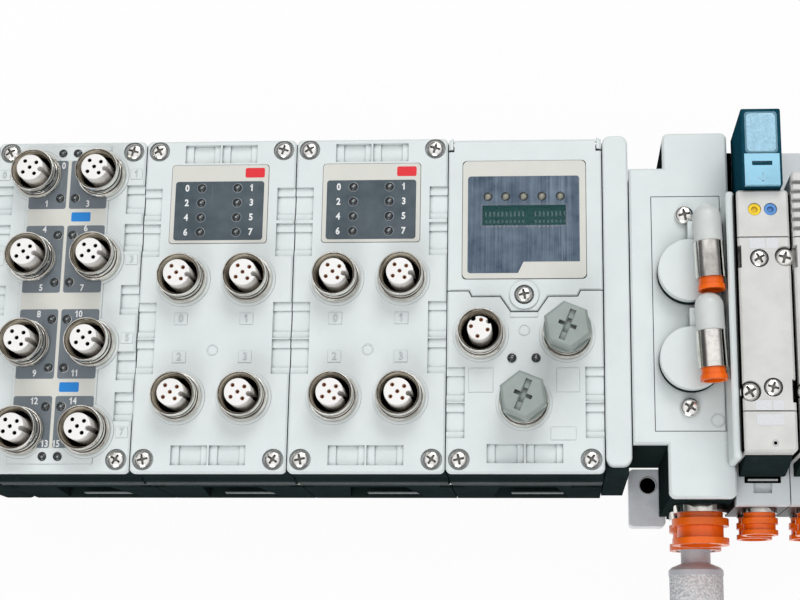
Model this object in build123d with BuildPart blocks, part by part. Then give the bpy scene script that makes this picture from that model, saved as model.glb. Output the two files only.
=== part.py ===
"""Pneumatic valve island: three input/output modules, a bus unit, an adapter, a supply and
exhaust block and two valve stations in one row, standing on its mounting side.

Frame: +X along the row, +Y towards the back edge, +Z out of the connector faces.
The origin is the middle of the footprint, on the mounting plane.  Millimetres.
"""
import os
from math import cos, radians, sin

from build123d import *

os.makedirs("parts", exist_ok=True)

# ---------------------------------------------------------------- driving dimensions
MODULE_PITCH = 47.0          # along the row, one input, output or bus unit
MODULE_LENGTH = 103.6        # front edge to back edge of a unit's face
FACE_Z = 62.0                # the connector face above the mounting plane
END_PLATE_WIDTH = 12.5       # plain plate at the left end
ADAPTER_WIDTH = 8.0          # plate between the bus unit and the supply block
BLOCK_WIDTH = 30.2           # supply and exhaust block
STATION_PITCH = 16.0         # one valve
STATIONS = 2
RIGHT_END_WIDTH = 20.0
SILENCER_REACH = 60.0        # the silencer's end, in front of the units' front edge
BACK_REACH = 104.5           # the block's back edge, behind the units' front edge
SEAM = 0.3                   # gap between neighbouring units

MODULES = 4
INPUT, OUTPUT_1, OUTPUT_2, BUS = range(MODULES)
ROW_WIDTH = (END_PLATE_WIDTH + MODULES * MODULE_PITCH + ADAPTER_WIDTH + BLOCK_WIDTH
             + STATIONS * STATION_PITCH + RIGHT_END_WIDTH)
LEFT = -ROW_WIDTH / 2
MODULES_LEFT = LEFT + END_PLATE_WIDTH
ADAPTER_LEFT = MODULES_LEFT + MODULES * MODULE_PITCH
BLOCK_LEFT = ADAPTER_LEFT + ADAPTER_WIDTH
STATIONS_LEFT = BLOCK_LEFT + BLOCK_WIDTH
RIGHT_END_LEFT = STATIONS_LEFT + STATIONS * STATION_PITCH
FRONT = (SILENCER_REACH - BACK_REACH) / 2
BACK = FRONT + MODULE_LENGTH

# Units: a black base box closed by a grey housing
LIP_Z = 60.0                 # underside of the housing's face plate
BASE_TOP = 59.7
LEDGE_Z = 45.0               # the base's walls step out below this height
LEDGE = 0.8
BASE_WALL = 2.0
BASE_END_WALL = 4.6
CORNER_POST = 6.6            # square posts that take the corner screws
BASE_FLOOR = 6.0
SKIRT_Z = 50.0
BOARD_TOP = 54.5
BOARD_THICKNESS = 1.6

# Screws
SMALL_HEAD_R = 2.5
SMALL_SHANK_R = 1.45
LARGE_HEAD_R = 2.8
LARGE_SHANK_R = 1.9
SCREW_U = 4.04               # corner screws, in from each side of the unit
SCREW_FRONT_V = 4.05
SCREW_BACK_V = 100.3

# Sockets, 12 mm thread
SOCKET_BORE_R = 5.95
SOCKET_RIM_R = 6.65
SOCKET_FLANGE_R = 7.4
SOCKET_TAIL_R = 6.4
SOCKET_RIM_Z = FACE_Z + 7.6
INSERT_R = 4.05
INSERT_Z = FACE_Z + 9.5
HALF_SOCKET_PITCH = 10.0
INPUT_ROWS = (92.5, 65.9, 39.2, 12.6)
OUTPUT_ROWS = (59.0, 22.7)
BUS_SOCKET = (10.3, 41.5)
CAPPED_SOCKETS = ((36.1, 41.3), (23.2, 20.8))

# Display cover of the bus unit
COVER_BOTTOM = FACE_Z - 3.2
COVER_BED = FACE_Z - 3.6
COVER_BED_THICKNESS = 2.0
COVER_SEAM_V = 54.9
COVER_BED_V = 46.0           # the housing steps down behind this line
HINGE_V = 101.7
HINGE_Z = 60.4
HINGE_PIN_R = 0.7
COVER_SCREW = (23.3, 53.7)


def unit_x(index):
    """Left edge of a unit."""
    return MODULES_LEFT + index * MODULE_PITCH


def at(index, u, v):
    """Point on a unit: u from its left edge, v from its front edge."""
    return (unit_x(index) + u, FRONT + v)


def cover_seam(left, right, back):
    """Corner points of the display cover's seam: a straight front with a stepped tab."""
    return [at(BUS, left, back), at(BUS, left, COVER_SEAM_V), at(BUS, 6.5, COVER_SEAM_V),
            at(BUS, 7.4, 53.1), at(BUS, 16.0, 53.1), at(BUS, 19.2, 48.4), at(BUS, 27.4, 48.4),
            at(BUS, 30.6, 53.1), at(BUS, 39.4, 53.1), at(BUS, 40.3, COVER_SEAM_V),
            at(BUS, right, COVER_SEAM_V), at(BUS, right, back)]


def save(builder, name):
    """Label a finished piece and write it."""
    builder.part.label = name
    export_step(builder.part, f"parts/{name}.step")


def screw_points(index, rows):
    """Corner screws of a unit."""
    return [at(index, u, v) for u in (SCREW_U, MODULE_PITCH - SCREW_U) for v in rows]


def socket_points(index, rows):
    """Two columns of sockets on a unit."""
    middle = MODULE_PITCH / 2
    return [at(index, middle + side * HALF_SOCKET_PITCH, v) for v in rows for side in (-1, 1)]


ALL_ROWS = (SCREW_FRONT_V, SCREW_BACK_V)
SMALL_SCREWS = (screw_points(INPUT, ALL_ROWS) + screw_points(OUTPUT_1, ALL_ROWS)
                + screw_points(OUTPUT_2, ALL_ROWS) + screw_points(BUS, (SCREW_FRONT_V,)))
INPUT_SOCKETS = socket_points(INPUT, INPUT_ROWS)
OUTPUT_SOCKETS = socket_points(OUTPUT_1, OUTPUT_ROWS) + socket_points(OUTPUT_2, OUTPUT_ROWS)
BUS_SOCKETS = [at(BUS, *BUS_SOCKET)] + [at(BUS, *place) for place in CAPPED_SOCKETS]
ALL_SOCKETS = INPUT_SOCKETS + OUTPUT_SOCKETS + BUS_SOCKETS

# ---------------------------------------------------------------- unit bases
JOINT_Z = 32.0               # height of the joint screws between the units
JOINT_SLOT = (7.8, 9.0)      # width and height of the slot that shows a joint screw
JOINT_DEPTH = 4.0
WINDOW_BOTTOM_Z = 4.0
WINDOW_DEPTH = 3.2
WINDOW_TOP_Z = 29.0
FRONT_PLANE = Plane.XZ.offset(-FRONT)
BACK_PLANE = Plane.XZ.offset(-BACK)
joint_xs = [unit_x(index) for index in (OUTPUT_1, OUTPUT_2, BUS)]


def unit_base(name, index):
    """Black base: an open box with stepped ends, a sloped pocket and half slots at its joints."""
    left = unit_x(index) + SEAM / 2
    width = MODULE_PITCH - SEAM
    middle = unit_x(index) + MODULE_PITCH / 2
    with BuildPart() as base:
        with BuildSketch(Plane.YZ.offset(left)):
            with BuildLine():
                Polyline((FRONT, 0), (FRONT, LEDGE_Z), (FRONT + LEDGE, LEDGE_Z + LEDGE / 2),
                         (FRONT + LEDGE, BASE_TOP), (BACK - LEDGE, BASE_TOP),
                         (BACK - LEDGE, LEDGE_Z + LEDGE / 2), (BACK, LEDGE_Z), (BACK, 0), close=True)
            make_face()
        extrude(amount=width)
        with BuildSketch(Plane.XY.offset(BASE_TOP)):
            with Locations((middle, FRONT + MODULE_LENGTH / 2)):
                Rectangle(width - 2 * BASE_WALL, MODULE_LENGTH - 2 * BASE_END_WALL)
                with GridLocations(width - CORNER_POST, MODULE_LENGTH - CORNER_POST, 2, 2):
                    Rectangle(CORNER_POST, CORNER_POST, mode=Mode.SUBTRACT)
        extrude(amount=BASE_FLOOR - BASE_TOP, mode=Mode.SUBTRACT)
        with BuildSketch(FRONT_PLANE):
            with BuildLine():
                Polyline((middle - 11.5, WINDOW_BOTTOM_Z), (middle + 13, WINDOW_BOTTOM_Z),
                         (middle + 9, WINDOW_TOP_Z), (middle - 8.5, WINDOW_TOP_Z), close=True)
            make_face()
        extrude(amount=-WINDOW_DEPTH, mode=Mode.SUBTRACT)
        for plane in (FRONT_PLANE, BACK_PLANE):
            into = -JOINT_DEPTH if plane is FRONT_PLANE else JOINT_DEPTH
            with BuildSketch(plane):
                with Locations((middle - MODULE_PITCH / 2, JOINT_Z), (middle + MODULE_PITCH / 2, JOINT_Z)):
                    RectangleRounded(JOINT_SLOT[0], JOINT_SLOT[1], 3.8)
            extrude(amount=into, mode=Mode.SUBTRACT)
        with BuildSketch(Plane.XY.offset(BASE_TOP)):
            rows = ALL_ROWS if index != BUS else (SCREW_FRONT_V,)
            with Locations(*screw_points(index, rows)):
                Circle(SMALL_SHANK_R + 0.1)
        extrude(amount=-12, mode=Mode.SUBTRACT)
        if index == BUS:
            with BuildSketch(FRONT_PLANE):
                with Locations((unit_x(BUS) + 40.7, JOINT_Z)):
                    RectangleRounded(6.8, 9, 0.6)
            extrude(amount=-JOINT_DEPTH, mode=Mode.SUBTRACT)
            # lower rim under the display cover
            with BuildSketch(Plane.XY.offset(BASE_TOP + 1)):
                with Locations(at(index, MODULE_PITCH / 2, COVER_BED_V - 0.3 + 40)):
                    Rectangle(MODULE_PITCH + 2, 80)
            extrude(amount=COVER_BED - COVER_BED_THICKNESS - 0.3 - BASE_TOP - 1, mode=Mode.SUBTRACT)
    save(base, name)


UNIT_NAMES = ("input", "output_1", "output_2", "bus")
for unit, unit_name in enumerate(UNIT_NAMES):
    unit_base(f"{unit_name}_base", unit)

# Brackets across the joints and their screws, at the front and the back
with BuildPart() as joint_brackets:
    for plane, sign in ((FRONT_PLANE, -1), (BACK_PLANE, 1)):
        with BuildSketch(plane.offset(sign * 2.2)):
            with Locations(*[(x, JOINT_Z) for x in joint_xs]):
                RectangleRounded(JOINT_SLOT[0] - 0.6, JOINT_SLOT[1] - 0.6, 3.4)
                Circle(1.6, mode=Mode.SUBTRACT)
        extrude(amount=sign * 1.6)
save(joint_brackets, "joint_brackets")

with BuildPart() as joint_screws:
    for plane, sign in ((FRONT_PLANE, -1), (BACK_PLANE, 1)):
        heads = [(x, JOINT_Z) for x in joint_xs]
        if sign < 0:
            heads = heads + [(unit_x(BUS) + 40.7, JOINT_Z)]
        with BuildSketch(plane.offset(sign * 0.6)):
            with Locations(*heads):
                Circle(2.3)
        extrude(amount=sign * 1.5)
        with BuildSketch(plane.offset(sign * 2.1)):
            with Locations(*heads):
                Circle(1.5)
        extrude(amount=sign * 1.8)
save(joint_screws, "joint_screws")

# ---------------------------------------------------------------- unit housings
POCKET_DEPTH = 1.0
POCKET_WELL_DEPTH = 1.6      # the well between the rails of each pocket
SIDE_POCKET_WIDTH = 5.6
LABEL_RECESS = 0.4


def side_pockets(index, spans):
    """Marker pockets along both sides of a unit: field and well between its rails, for each span."""
    places = []
    for low, high in spans:
        v = (low + high) / 2
        for u in (SIDE_POCKET_WIDTH / 2, MODULE_PITCH - SIDE_POCKET_WIDTH / 2):
            places.append((at(index, u, v), (SIDE_POCKET_WIDTH, high - low),
                           at(index, u, v - 0.25), (SIDE_POCKET_WIDTH, high - low - 4.6)))
    return places


def end_pockets(index, low, high):
    """Two marker pockets beside each other at one end of a unit."""
    v = (low + high) / 2
    return [(at(index, u, v), (10.9, high - low), at(index, u + 0.2, v), (6.6, high - low))
            for u in (17.7, 29.2)]


OUTPUT_SPANS = ((77.8, 88.2), (66.4, 76.8), (40.9, 52.0), (29.9, 40.5))
INPUT_SPANS = ((80.2, 89.5), (68.2, 77.0), (48.3, 57.6), (28.1, 36.9), (15.6, 24.4))
BUS_SPANS = ((21.3, 31.7), (10.4, 20.9))


def unit_housing(index, sockets, pockets, tiles, marks, label, tall=True):
    """Grey housing: face plate, skirt, socket holes, marker pockets, raised tiles and bosses."""
    left = unit_x(index)
    centre = at(index, MODULE_PITCH / 2, MODULE_LENGTH / 2)
    rows = ALL_ROWS if tall else (SCREW_FRONT_V,)
    skirt_width = MODULE_PITCH - SEAM - 2 * BASE_WALL - 0.6
    skirt_length = MODULE_LENGTH - 2 * BASE_END_WALL - 0.6
    with BuildPart() as housing:
        with BuildSketch(Plane.XY.offset(LIP_Z)):
            with Locations(centre):
                RectangleRounded(MODULE_PITCH - SEAM, MODULE_LENGTH, 1.6)
        extrude(amount=FACE_Z - LIP_Z)
        chamfer(housing.faces().sort_by(Axis.Z)[-1].outer_wire().edges(), 0.5)
        with BuildSketch(Plane.XY.offset(LIP_Z)):
            with Locations(centre):
                Rectangle(skirt_width, skirt_length)
                Rectangle(skirt_width - 3.0, skirt_length - 3.0, mode=Mode.SUBTRACT)
                with GridLocations(MODULE_PITCH - SEAM - CORNER_POST, MODULE_LENGTH - CORNER_POST, 2, 2):
                    Rectangle(CORNER_POST + 0.6, CORNER_POST + 0.6, mode=Mode.SUBTRACT)
        extrude(amount=SKIRT_Z - LIP_Z)
        if not tall:
            # the bed of the display cover, below the face plate
            with BuildSketch(Plane.XY.offset(COVER_BED - COVER_BED_THICKNESS)):
                with Locations(at(index, MODULE_PITCH / 2, (COVER_BED_V + MODULE_LENGTH) / 2)):
                    Rectangle(MODULE_PITCH - SEAM, MODULE_LENGTH - COVER_BED_V)
            extrude(amount=LIP_Z - COVER_BED + COVER_BED_THICKNESS)
        # bosses round the sockets, with a keyed flat on the right
        if sockets:
            with BuildSketch(Plane.XY.offset(FACE_Z)):
                with Locations(*sockets):
                    Circle(SOCKET_FLANGE_R + 0.9)
            extrude(amount=0.35)
            with BuildSketch(Plane.XY.offset(FACE_Z + 0.35)):
                with Locations(*sockets):
                    Circle(SOCKET_TAIL_R + 0.1)
            extrude(amount=SKIRT_Z - FACE_Z - 1, mode=Mode.SUBTRACT)
        # screw recesses
        with BuildSketch(Plane.XY.offset(FACE_Z)):
            with Locations(*screw_points(index, rows)):
                Circle(SMALL_HEAD_R + 0.7)
        extrude(amount=-1.0, mode=Mode.SUBTRACT)
        with BuildSketch(Plane.XY.offset(FACE_Z)):
            with Locations(*screw_points(index, rows)):
                Circle(SMALL_SHANK_R + 0.1)
        extrude(amount=-4, mode=Mode.SUBTRACT)
        # marker pockets
        for place, size, well, well_size in pockets:
            with BuildSketch(Plane.XY.offset(FACE_Z)):
                with Locations(place):
                    Rectangle(*size)
            extrude(amount=-POCKET_DEPTH, mode=Mode.SUBTRACT)
        for place, size, well, well_size in pockets:
            with BuildSketch(Plane.XY.offset(FACE_Z)):
                with Locations(well):
                    Rectangle(*well_size)
            extrude(amount=-POCKET_WELL_DEPTH, mode=Mode.SUBTRACT)
        # raised tiles for plain numbers
        if tiles:
            with BuildSketch(Plane.XY.offset(FACE_Z)):
                for place, size in tiles:
                    with Locations(place):
                        Rectangle(*size)
            extrude(amount=0.2)
        # round gate mark
        if marks:
            with BuildSketch(Plane.XY.offset(FACE_Z)):
                with Locations(*marks):
                    Circle(1.7)
                    Circle(1.4, mode=Mode.SUBTRACT)
            extrude(amount=0.15)
        # bed of the label
        if label:
            place, size = label
            with BuildSketch(Plane.XY.offset(FACE_Z)):
                with Locations(place):
                    RectangleRounded(size[0] + 0.3, size[1] + 0.3, 1.0)
            extrude(amount=-LABEL_RECESS, mode=Mode.SUBTRACT)
        if not tall:
            # bed, hinge ears, screw hole and window of the display cover
            with BuildSketch(Plane.XY.offset(FACE_Z + 1)):
                with BuildLine():
                    Polyline(*cover_seam(-1, MODULE_PITCH + 1, MODULE_LENGTH + 1), close=True)
                make_face()
                with Locations(at(index, 0.8, HINGE_V), at(index, MODULE_PITCH - 0.8, HINGE_V)):
                    Rectangle(1.5, 3.7, mode=Mode.SUBTRACT)
            extrude(amount=COVER_BED - FACE_Z - 1, mode=Mode.SUBTRACT)
            with BuildSketch(Plane.YZ.offset(left - 1)):
                with Locations((FRONT + HINGE_V, HINGE_Z)):
                    Circle(HINGE_PIN_R + 0.02)
            extrude(amount=MODULE_PITCH + 2, mode=Mode.SUBTRACT)
            with BuildSketch(Plane.XY.offset(COVER_BED)):
                with Locations(at(index, 23.2, 80.5)):
                    RectangleRounded(30, 17, 1)
                with Locations(at(index, *COVER_SCREW)):
                    Circle(2.3)
            extrude(amount=-12, mode=Mode.SUBTRACT)
            with BuildSketch(Plane.XY.offset(FACE_Z)):
                with Locations(at(index, 19.6, 34.4), at(index, 26.8, 34.4)):
                    Circle(1.35)
            extrude(amount=-4, mode=Mode.SUBTRACT)
    return housing


OUTPUT_LABEL_SIZE = (30.0, 25.0)
OUTPUT_LABEL_PLACE = (23.5, 83.1)
INPUT_LABEL_SIZE = (25.8, 99.4)
INPUT_LABEL_PLACE = (23.0, 52.45)
LENS_R = 1.3
OUTPUT_LENS_US = (17.95, 29.05)
OUTPUT_LENS_VS = (88.1, 83.4, 78.7, 74.0)
INPUT_LENS_US = (20.7, 25.3)
INPUT_LENS_VS = (99.9, 85.3, 73.5, 58.5, 46.9, 31.9, 20.0, 5.0)


def output_unit(index):
    """Housing of an output unit, with its lens holes."""
    tiles = [(at(index, u, v), (4.0, 3.6)) for u in (13.4, 33.4) for v in (46.8, 35.1)]
    pockets = (side_pockets(index, OUTPUT_SPANS) + end_pockets(index, 96.4, 102.2)
               + end_pockets(index, 2.4, 8.3))
    label = (at(index, *OUTPUT_LABEL_PLACE), OUTPUT_LABEL_SIZE)
    return unit_housing(index, socket_points(index, OUTPUT_ROWS), pockets, tiles,
                        [at(index, 23.4, 37.2)], label)


def lens_points(index, us, vs):
    """Places of the indicator lenses on a unit."""
    return [at(index, u, v) for u in us for v in vs]


INPUT_LENSES = lens_points(INPUT, INPUT_LENS_US, INPUT_LENS_VS)
OUTPUT_LENSES = (lens_points(OUTPUT_1, OUTPUT_LENS_US, OUTPUT_LENS_VS)
                 + lens_points(OUTPUT_2, OUTPUT_LENS_US, OUTPUT_LENS_VS))
BUS_LENSES = [at(BUS, 19.6, 34.4), at(BUS, 26.8, 34.4)]

for unit in (OUTPUT_1, OUTPUT_2):
    blank = output_unit(unit)
    with BuildPart() as output_housing:
        add(blank.part)
        with BuildSketch(Plane.XY.offset(FACE_Z)):
            with Locations(*lens_points(unit, OUTPUT_LENS_US, OUTPUT_LENS_VS)):
                Circle(LENS_R + 0.05)
        extrude(amount=-4, mode=Mode.SUBTRACT)
    save(output_housing, f"{UNIT_NAMES[unit]}_housing")

input_tiles = [(at(INPUT, u, v), (3.6, 3.2)) for u in (2.6, 44.2) for v in (93.0, 65.6, 41.0, 12.2)]
blank = unit_housing(INPUT, INPUT_SOCKETS, side_pockets(INPUT, INPUT_SPANS), input_tiles,
                     [], None)
with BuildPart() as input_housing:
    add(blank.part)
    with BuildSketch(Plane.XY.offset(FACE_Z)):
        with Locations(*INPUT_LENSES):
            Circle(LENS_R + 0.05)
    extrude(amount=-4, mode=Mode.SUBTRACT)
save(input_housing, "input_housing")

bus_tiles = [(at(BUS, 10.4, 27.7), (7.2, 7.2)), (at(BUS, 36.3, 27.7), (6.8, 7.2)),
             (at(BUS, 34.8, 11.7), (7.4, 3.8))]
bus_housing = unit_housing(BUS, BUS_SOCKETS, side_pockets(BUS, BUS_SPANS)
                           + end_pockets(BUS, 3.0, 8.6), bus_tiles, [at(BUS, 23.3, 42.9)], None,
                           tall=False)
save(bus_housing, "bus_housing")

# Labels: thin sheets, with round holes where lenses and sockets stand
with BuildPart() as output_labels:
    with BuildSketch(Plane.XY.offset(FACE_Z - LABEL_RECESS)):
        with Locations(at(OUTPUT_1, *OUTPUT_LABEL_PLACE), at(OUTPUT_2, *OUTPUT_LABEL_PLACE)):
            RectangleRounded(*OUTPUT_LABEL_SIZE, 1.0)
        with Locations(*OUTPUT_LENSES):
            Circle(LENS_R + 0.1, mode=Mode.SUBTRACT)
    extrude(amount=LABEL_RECESS + 0.2)
save(output_labels, "output_labels")

with BuildPart() as input_label:
    with BuildSketch(Plane.XY.offset(FACE_Z)):
        with Locations(at(INPUT, *INPUT_LABEL_PLACE)):
            RectangleRounded(*INPUT_LABEL_SIZE, 1.0)
        with Locations(*INPUT_SOCKETS):
            Circle(SOCKET_FLANGE_R + 1.0, mode=Mode.SUBTRACT)
        with Locations(*INPUT_LENSES):
            Circle(LENS_R + 0.1, mode=Mode.SUBTRACT)
    extrude(amount=0.3)
save(input_label, "input_label")

with BuildPart() as indicator_lenses:
    with BuildSketch(Plane.XY.offset(LIP_Z + 0.1)):
        with Locations(*(INPUT_LENSES + OUTPUT_LENSES + BUS_LENSES)):
            Circle(LENS_R - 0.02)
    extrude(amount=FACE_Z - LIP_Z + 0.4)
save(indicator_lenses, "indicator_lenses")

# Circuit boards on the units' inner ledges
with BuildPart() as circuit_boards:
    with BuildSketch(Plane.XY.offset(BOARD_TOP)):
        with Locations(*[at(index, MODULE_PITCH / 2, MODULE_LENGTH / 2) for index in range(MODULES)]):
            Rectangle(38.6, 85.0)
    extrude(amount=-BOARD_THICKNESS)
save(circuit_boards, "circuit_boards")

# ---------------------------------------------------------------- sockets
with BuildPart() as socket_shell:
    with BuildSketch(Plane.XZ):
        with BuildLine():
            Polyline((SOCKET_BORE_R, FACE_Z - 3), (SOCKET_TAIL_R, FACE_Z - 3),
                     (SOCKET_TAIL_R, FACE_Z + 0.35), (SOCKET_FLANGE_R, FACE_Z + 0.35),
                     (SOCKET_FLANGE_R, FACE_Z + 2.6), (SOCKET_RIM_R, FACE_Z + 3.1),
                     (SOCKET_RIM_R, FACE_Z + 4.6), (SOCKET_RIM_R - 0.3, FACE_Z + 4.8),
                     (SOCKET_RIM_R - 0.3, FACE_Z + 5.4), (SOCKET_RIM_R, FACE_Z + 5.6),
                     (SOCKET_RIM_R, SOCKET_RIM_Z - 0.2), (SOCKET_RIM_R - 0.2, SOCKET_RIM_Z),
                     (SOCKET_BORE_R, SOCKET_RIM_Z), close=True)
        make_face()
    revolve(axis=Axis.Z)

with BuildPart() as socket_shells:
    with Locations(*[(x, y, 0) for x, y in ALL_SOCKETS]):
        add(socket_shell.part)
save(socket_shells, "socket_shells")

with BuildPart() as socket_insert:
    with BuildSketch(Plane.XY.offset(BOARD_TOP)):
        Circle(SOCKET_BORE_R - 0.05)
    extrude(amount=FACE_Z - 1.5 - BOARD_TOP)
    with BuildSketch(Plane.XY.offset(FACE_Z - 1.5)):
        Circle(INSERT_R)
        with Locations((INSERT_R, 0)):
            Rectangle(1.2, 1.1, mode=Mode.SUBTRACT)
    extrude(amount=INSERT_Z - FACE_Z + 1.5)

with BuildPart() as socket_inserts:
    with Locations(*[(x, y, 0) for x, y in ALL_SOCKETS]):
        add(socket_insert.part)
save(socket_inserts, "socket_inserts")

# Screwed caps on two of the bus unit's sockets: hexagon, skirt and a cross slot
CAP_TOP = FACE_Z + 14.5
CAP_ACROSS_FLATS = 12.6
CAP_TURN = 38.0             # of a corner; the long slot runs from flat to flat
with BuildPart() as socket_cap:
    with BuildSketch(Plane.XY.offset(FACE_Z + 7.9)):
        Circle(SOCKET_RIM_R + 0.4)
    extrude(amount=1.7)
    with BuildSketch(Plane.XY.offset(FACE_Z + 9.6)):
        RegularPolygon(CAP_ACROSS_FLATS / 2, 6, major_radius=False, rotation=CAP_TURN)
    extrude(amount=CAP_TOP - FACE_Z - 9.6)
    chamfer(socket_cap.faces().sort_by(Axis.Z)[-1].outer_wire().edges(), 0.7)
    with BuildSketch(Plane.XY.offset(CAP_TOP)):
        Rectangle(9.5, 1.8, rotation=CAP_TURN + 30)
    extrude(amount=-1.2, mode=Mode.SUBTRACT)
    with BuildSketch(Plane.XY.offset(CAP_TOP)):
        Rectangle(4.4, 1.2, rotation=CAP_TURN + 30)
        Rectangle(1.2, 5.4, rotation=CAP_TURN + 30)
    extrude(amount=-2.2, mode=Mode.SUBTRACT)

# the well that clears the insert's nose
with BuildPart() as hollow_cap:
    add(socket_cap.part)
    with BuildSketch(Plane.XY.offset(FACE_Z + 7.9)):
        Circle(INSERT_R + 0.3)
    extrude(amount=2.2, mode=Mode.SUBTRACT)

with BuildPart() as socket_caps:
    with Locations(*[(x, y, 0) for x, y in BUS_SOCKETS[1:]]):
        add(hollow_cap.part)
save(socket_caps, "socket_caps")

# ---------------------------------------------------------------- display cover
WINDOW_PLACE = (23.3, 77.4)
WINDOW_SIZE = (37.4, 37.2)
with BuildPart() as display_cover:
    with BuildSketch(Plane.XY.offset(COVER_BOTTOM)):
        with BuildLine():
            Polyline(*cover_seam(-SEAM / 2, MODULE_PITCH + SEAM / 2, HINGE_V + 0.3), close=True)
        make_face()
        offset(amount=-0.3, kind=Kind.INTERSECTION)
    extrude(amount=FACE_Z - COVER_BOTTOM)
    chamfer(display_cover.faces().sort_by(Axis.Z)[-1].outer_wire().edges()
            .filter_by(lambda edge: edge.center().Y < FRONT + HINGE_V - 0.1), 0.4)
    # rounded nose about the hinge axis, and the notches for the hinge ears
    with BuildSketch(Plane.YZ.offset(unit_x(BUS) + 0.15)):
        with Locations((FRONT + HINGE_V, HINGE_Z)):
            Circle(1.6)
    extrude(amount=MODULE_PITCH - SEAM)
    with BuildSketch(Plane.XY.offset(COVER_BOTTOM - 1)):
        with Locations(at(BUS, 0.8, HINGE_V), at(BUS, MODULE_PITCH - 0.8, HINGE_V)):
            Rectangle(2.1, 5.2)
    extrude(amount=6, mode=Mode.SUBTRACT)
    with BuildSketch(Plane.YZ.offset(unit_x(BUS) - 1)):
        with Locations((FRONT + HINGE_V, HINGE_Z)):
            Circle(HINGE_PIN_R + 0.05)
    extrude(amount=MODULE_PITCH + 2, mode=Mode.SUBTRACT)
    # bed and opening of the window, boss and hole of the captive screw
    with BuildSketch(Plane.XY.offset(FACE_Z)):
        with Locations(at(BUS, *WINDOW_PLACE)):
            RectangleRounded(WINDOW_SIZE[0] + 0.3, WINDOW_SIZE[1] + 0.3, 1.2)
    extrude(amount=-1.2, mode=Mode.SUBTRACT)
    with BuildSketch(Plane.XY.offset(FACE_Z)):
        with Locations(at(BUS, 23.2, 80.5)):
            RectangleRounded(30, 17, 1)
    extrude(amount=-5, mode=Mode.SUBTRACT)
    with BuildSketch(Plane.XY.offset(FACE_Z - 1)):
        with Locations(at(BUS, *COVER_SCREW)):
            Circle(4.4)
    extrude(amount=1.7)
    with BuildSketch(Plane.XY.offset(FACE_Z + 0.7)):
        with Locations(at(BUS, *COVER_SCREW)):
            Circle(3.0)
    extrude(amount=-1.2, mode=Mode.SUBTRACT)
    with BuildSketch(Plane.XY.offset(FACE_Z)):
        with Locations(at(BUS, *COVER_SCREW)):
            Circle(SMALL_SHANK_R + 0.1)
    extrude(amount=-5, mode=Mode.SUBTRACT)
save(display_cover, "display_cover")

with BuildPart() as display_window:
    with BuildSketch(Plane.XY.offset(FACE_Z - 1.2)):
        with Locations(at(BUS, *WINDOW_PLACE)):
            RectangleRounded(*WINDOW_SIZE, 1.2)
    extrude(amount=1.4)
save(display_window, "display_window")

with BuildPart() as hinge_pin:
    with BuildSketch(Plane.YZ.offset(unit_x(BUS) + 0.3)):
        with Locations((FRONT + HINGE_V, HINGE_Z)):
            Circle(HINGE_PIN_R)
    extrude(amount=MODULE_PITCH - 0.6)
save(hinge_pin, "cover_hinge_pin")


def pan_screw(head_r, head_height, shank_r, shank_length, slot):
    """Cross-recessed pan head screw with its seat at the origin."""
    with BuildPart() as screw:
        Cylinder(head_r, head_height, align=(Align.CENTER, Align.CENTER, Align.MIN))
        fillet(screw.edges().filter_by(GeomType.CIRCLE).sort_by(Axis.Z)[-1], head_height * 0.45)
        with BuildSketch(Plane.XY.offset(head_height)):
            Rectangle(slot * 3.0, slot, rotation=45)
            Rectangle(slot, slot * 3.0, rotation=45)
        extrude(amount=-head_height * 0.55, mode=Mode.SUBTRACT)
        with BuildSketch():
            Circle(shank_r)
        extrude(amount=-shank_length)
    return screw.part


with BuildPart() as cover_screw:
    with Locations((*at(BUS, *COVER_SCREW), FACE_Z - 0.5)):
        add(pan_screw(SMALL_HEAD_R, 2.2, SMALL_SHANK_R, 6.0, 0.9))
save(cover_screw, "cover_screw")

# Address switches: two banks of slide levers under the window
SWITCH_PITCH = 1.27


def switch_bank(name, levers, u):
    """Switch body with its row of levers."""
    length = levers * SWITCH_PITCH + 0.8
    with BuildPart() as bank:
        with BuildSketch(Plane.XY.offset(BOARD_TOP)):
            with Locations(at(BUS, u, 78.6)):
                Rectangle(length, 5.4)
        extrude(amount=2.4)
        with BuildSketch(Plane.XY.offset(BOARD_TOP + 2.4)):
            with Locations(at(BUS, u, 78.6)):
                with GridLocations(SWITCH_PITCH, 1, levers, 1):
                    Rectangle(0.75, 2.6)
        extrude(amount=-0.6, mode=Mode.SUBTRACT)
        with BuildSketch(Plane.XY.offset(BOARD_TOP + 1.8)):
            with Locations(at(BUS, u, 78.1)):
                with GridLocations(SWITCH_PITCH, 1, levers, 1):
                    Rectangle(0.7, 1.0)
        extrude(amount=1.1)
    save(bank, name)


switch_bank("switch_bank_1", 10, 17.2)
switch_bank("switch_bank_2", 8, 31.2)

# ---------------------------------------------------------------- end plates and adapter
with BuildPart() as left_end_plate:
    with BuildSketch():
        with Locations((LEFT + (END_PLATE_WIDTH - SEAM) / 2, FRONT + MODULE_LENGTH / 2)):
            RectangleRounded(END_PLATE_WIDTH - SEAM, MODULE_LENGTH, 2.5)
    extrude(amount=FACE_Z)
    fillet(left_end_plate.faces().sort_by(Axis.Z)[-1].edges(), 1.0)
save(left_end_plate, "left_end_plate")

with BuildPart() as adapter_base:
    with BuildSketch(Plane.YZ.offset(ADAPTER_LEFT + SEAM / 2)):
        with BuildLine():
            Polyline((FRONT + 0.4, 4), (FRONT + 0.4, 57.6), (BACK - 0.6, 57.6), (BACK - 0.6, 0),
                     (FRONT + 4.4, 0), close=True)
        make_face()
    extrude(amount=ADAPTER_WIDTH - SEAM - 0.8)
save(adapter_base, "adapter_base")

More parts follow.
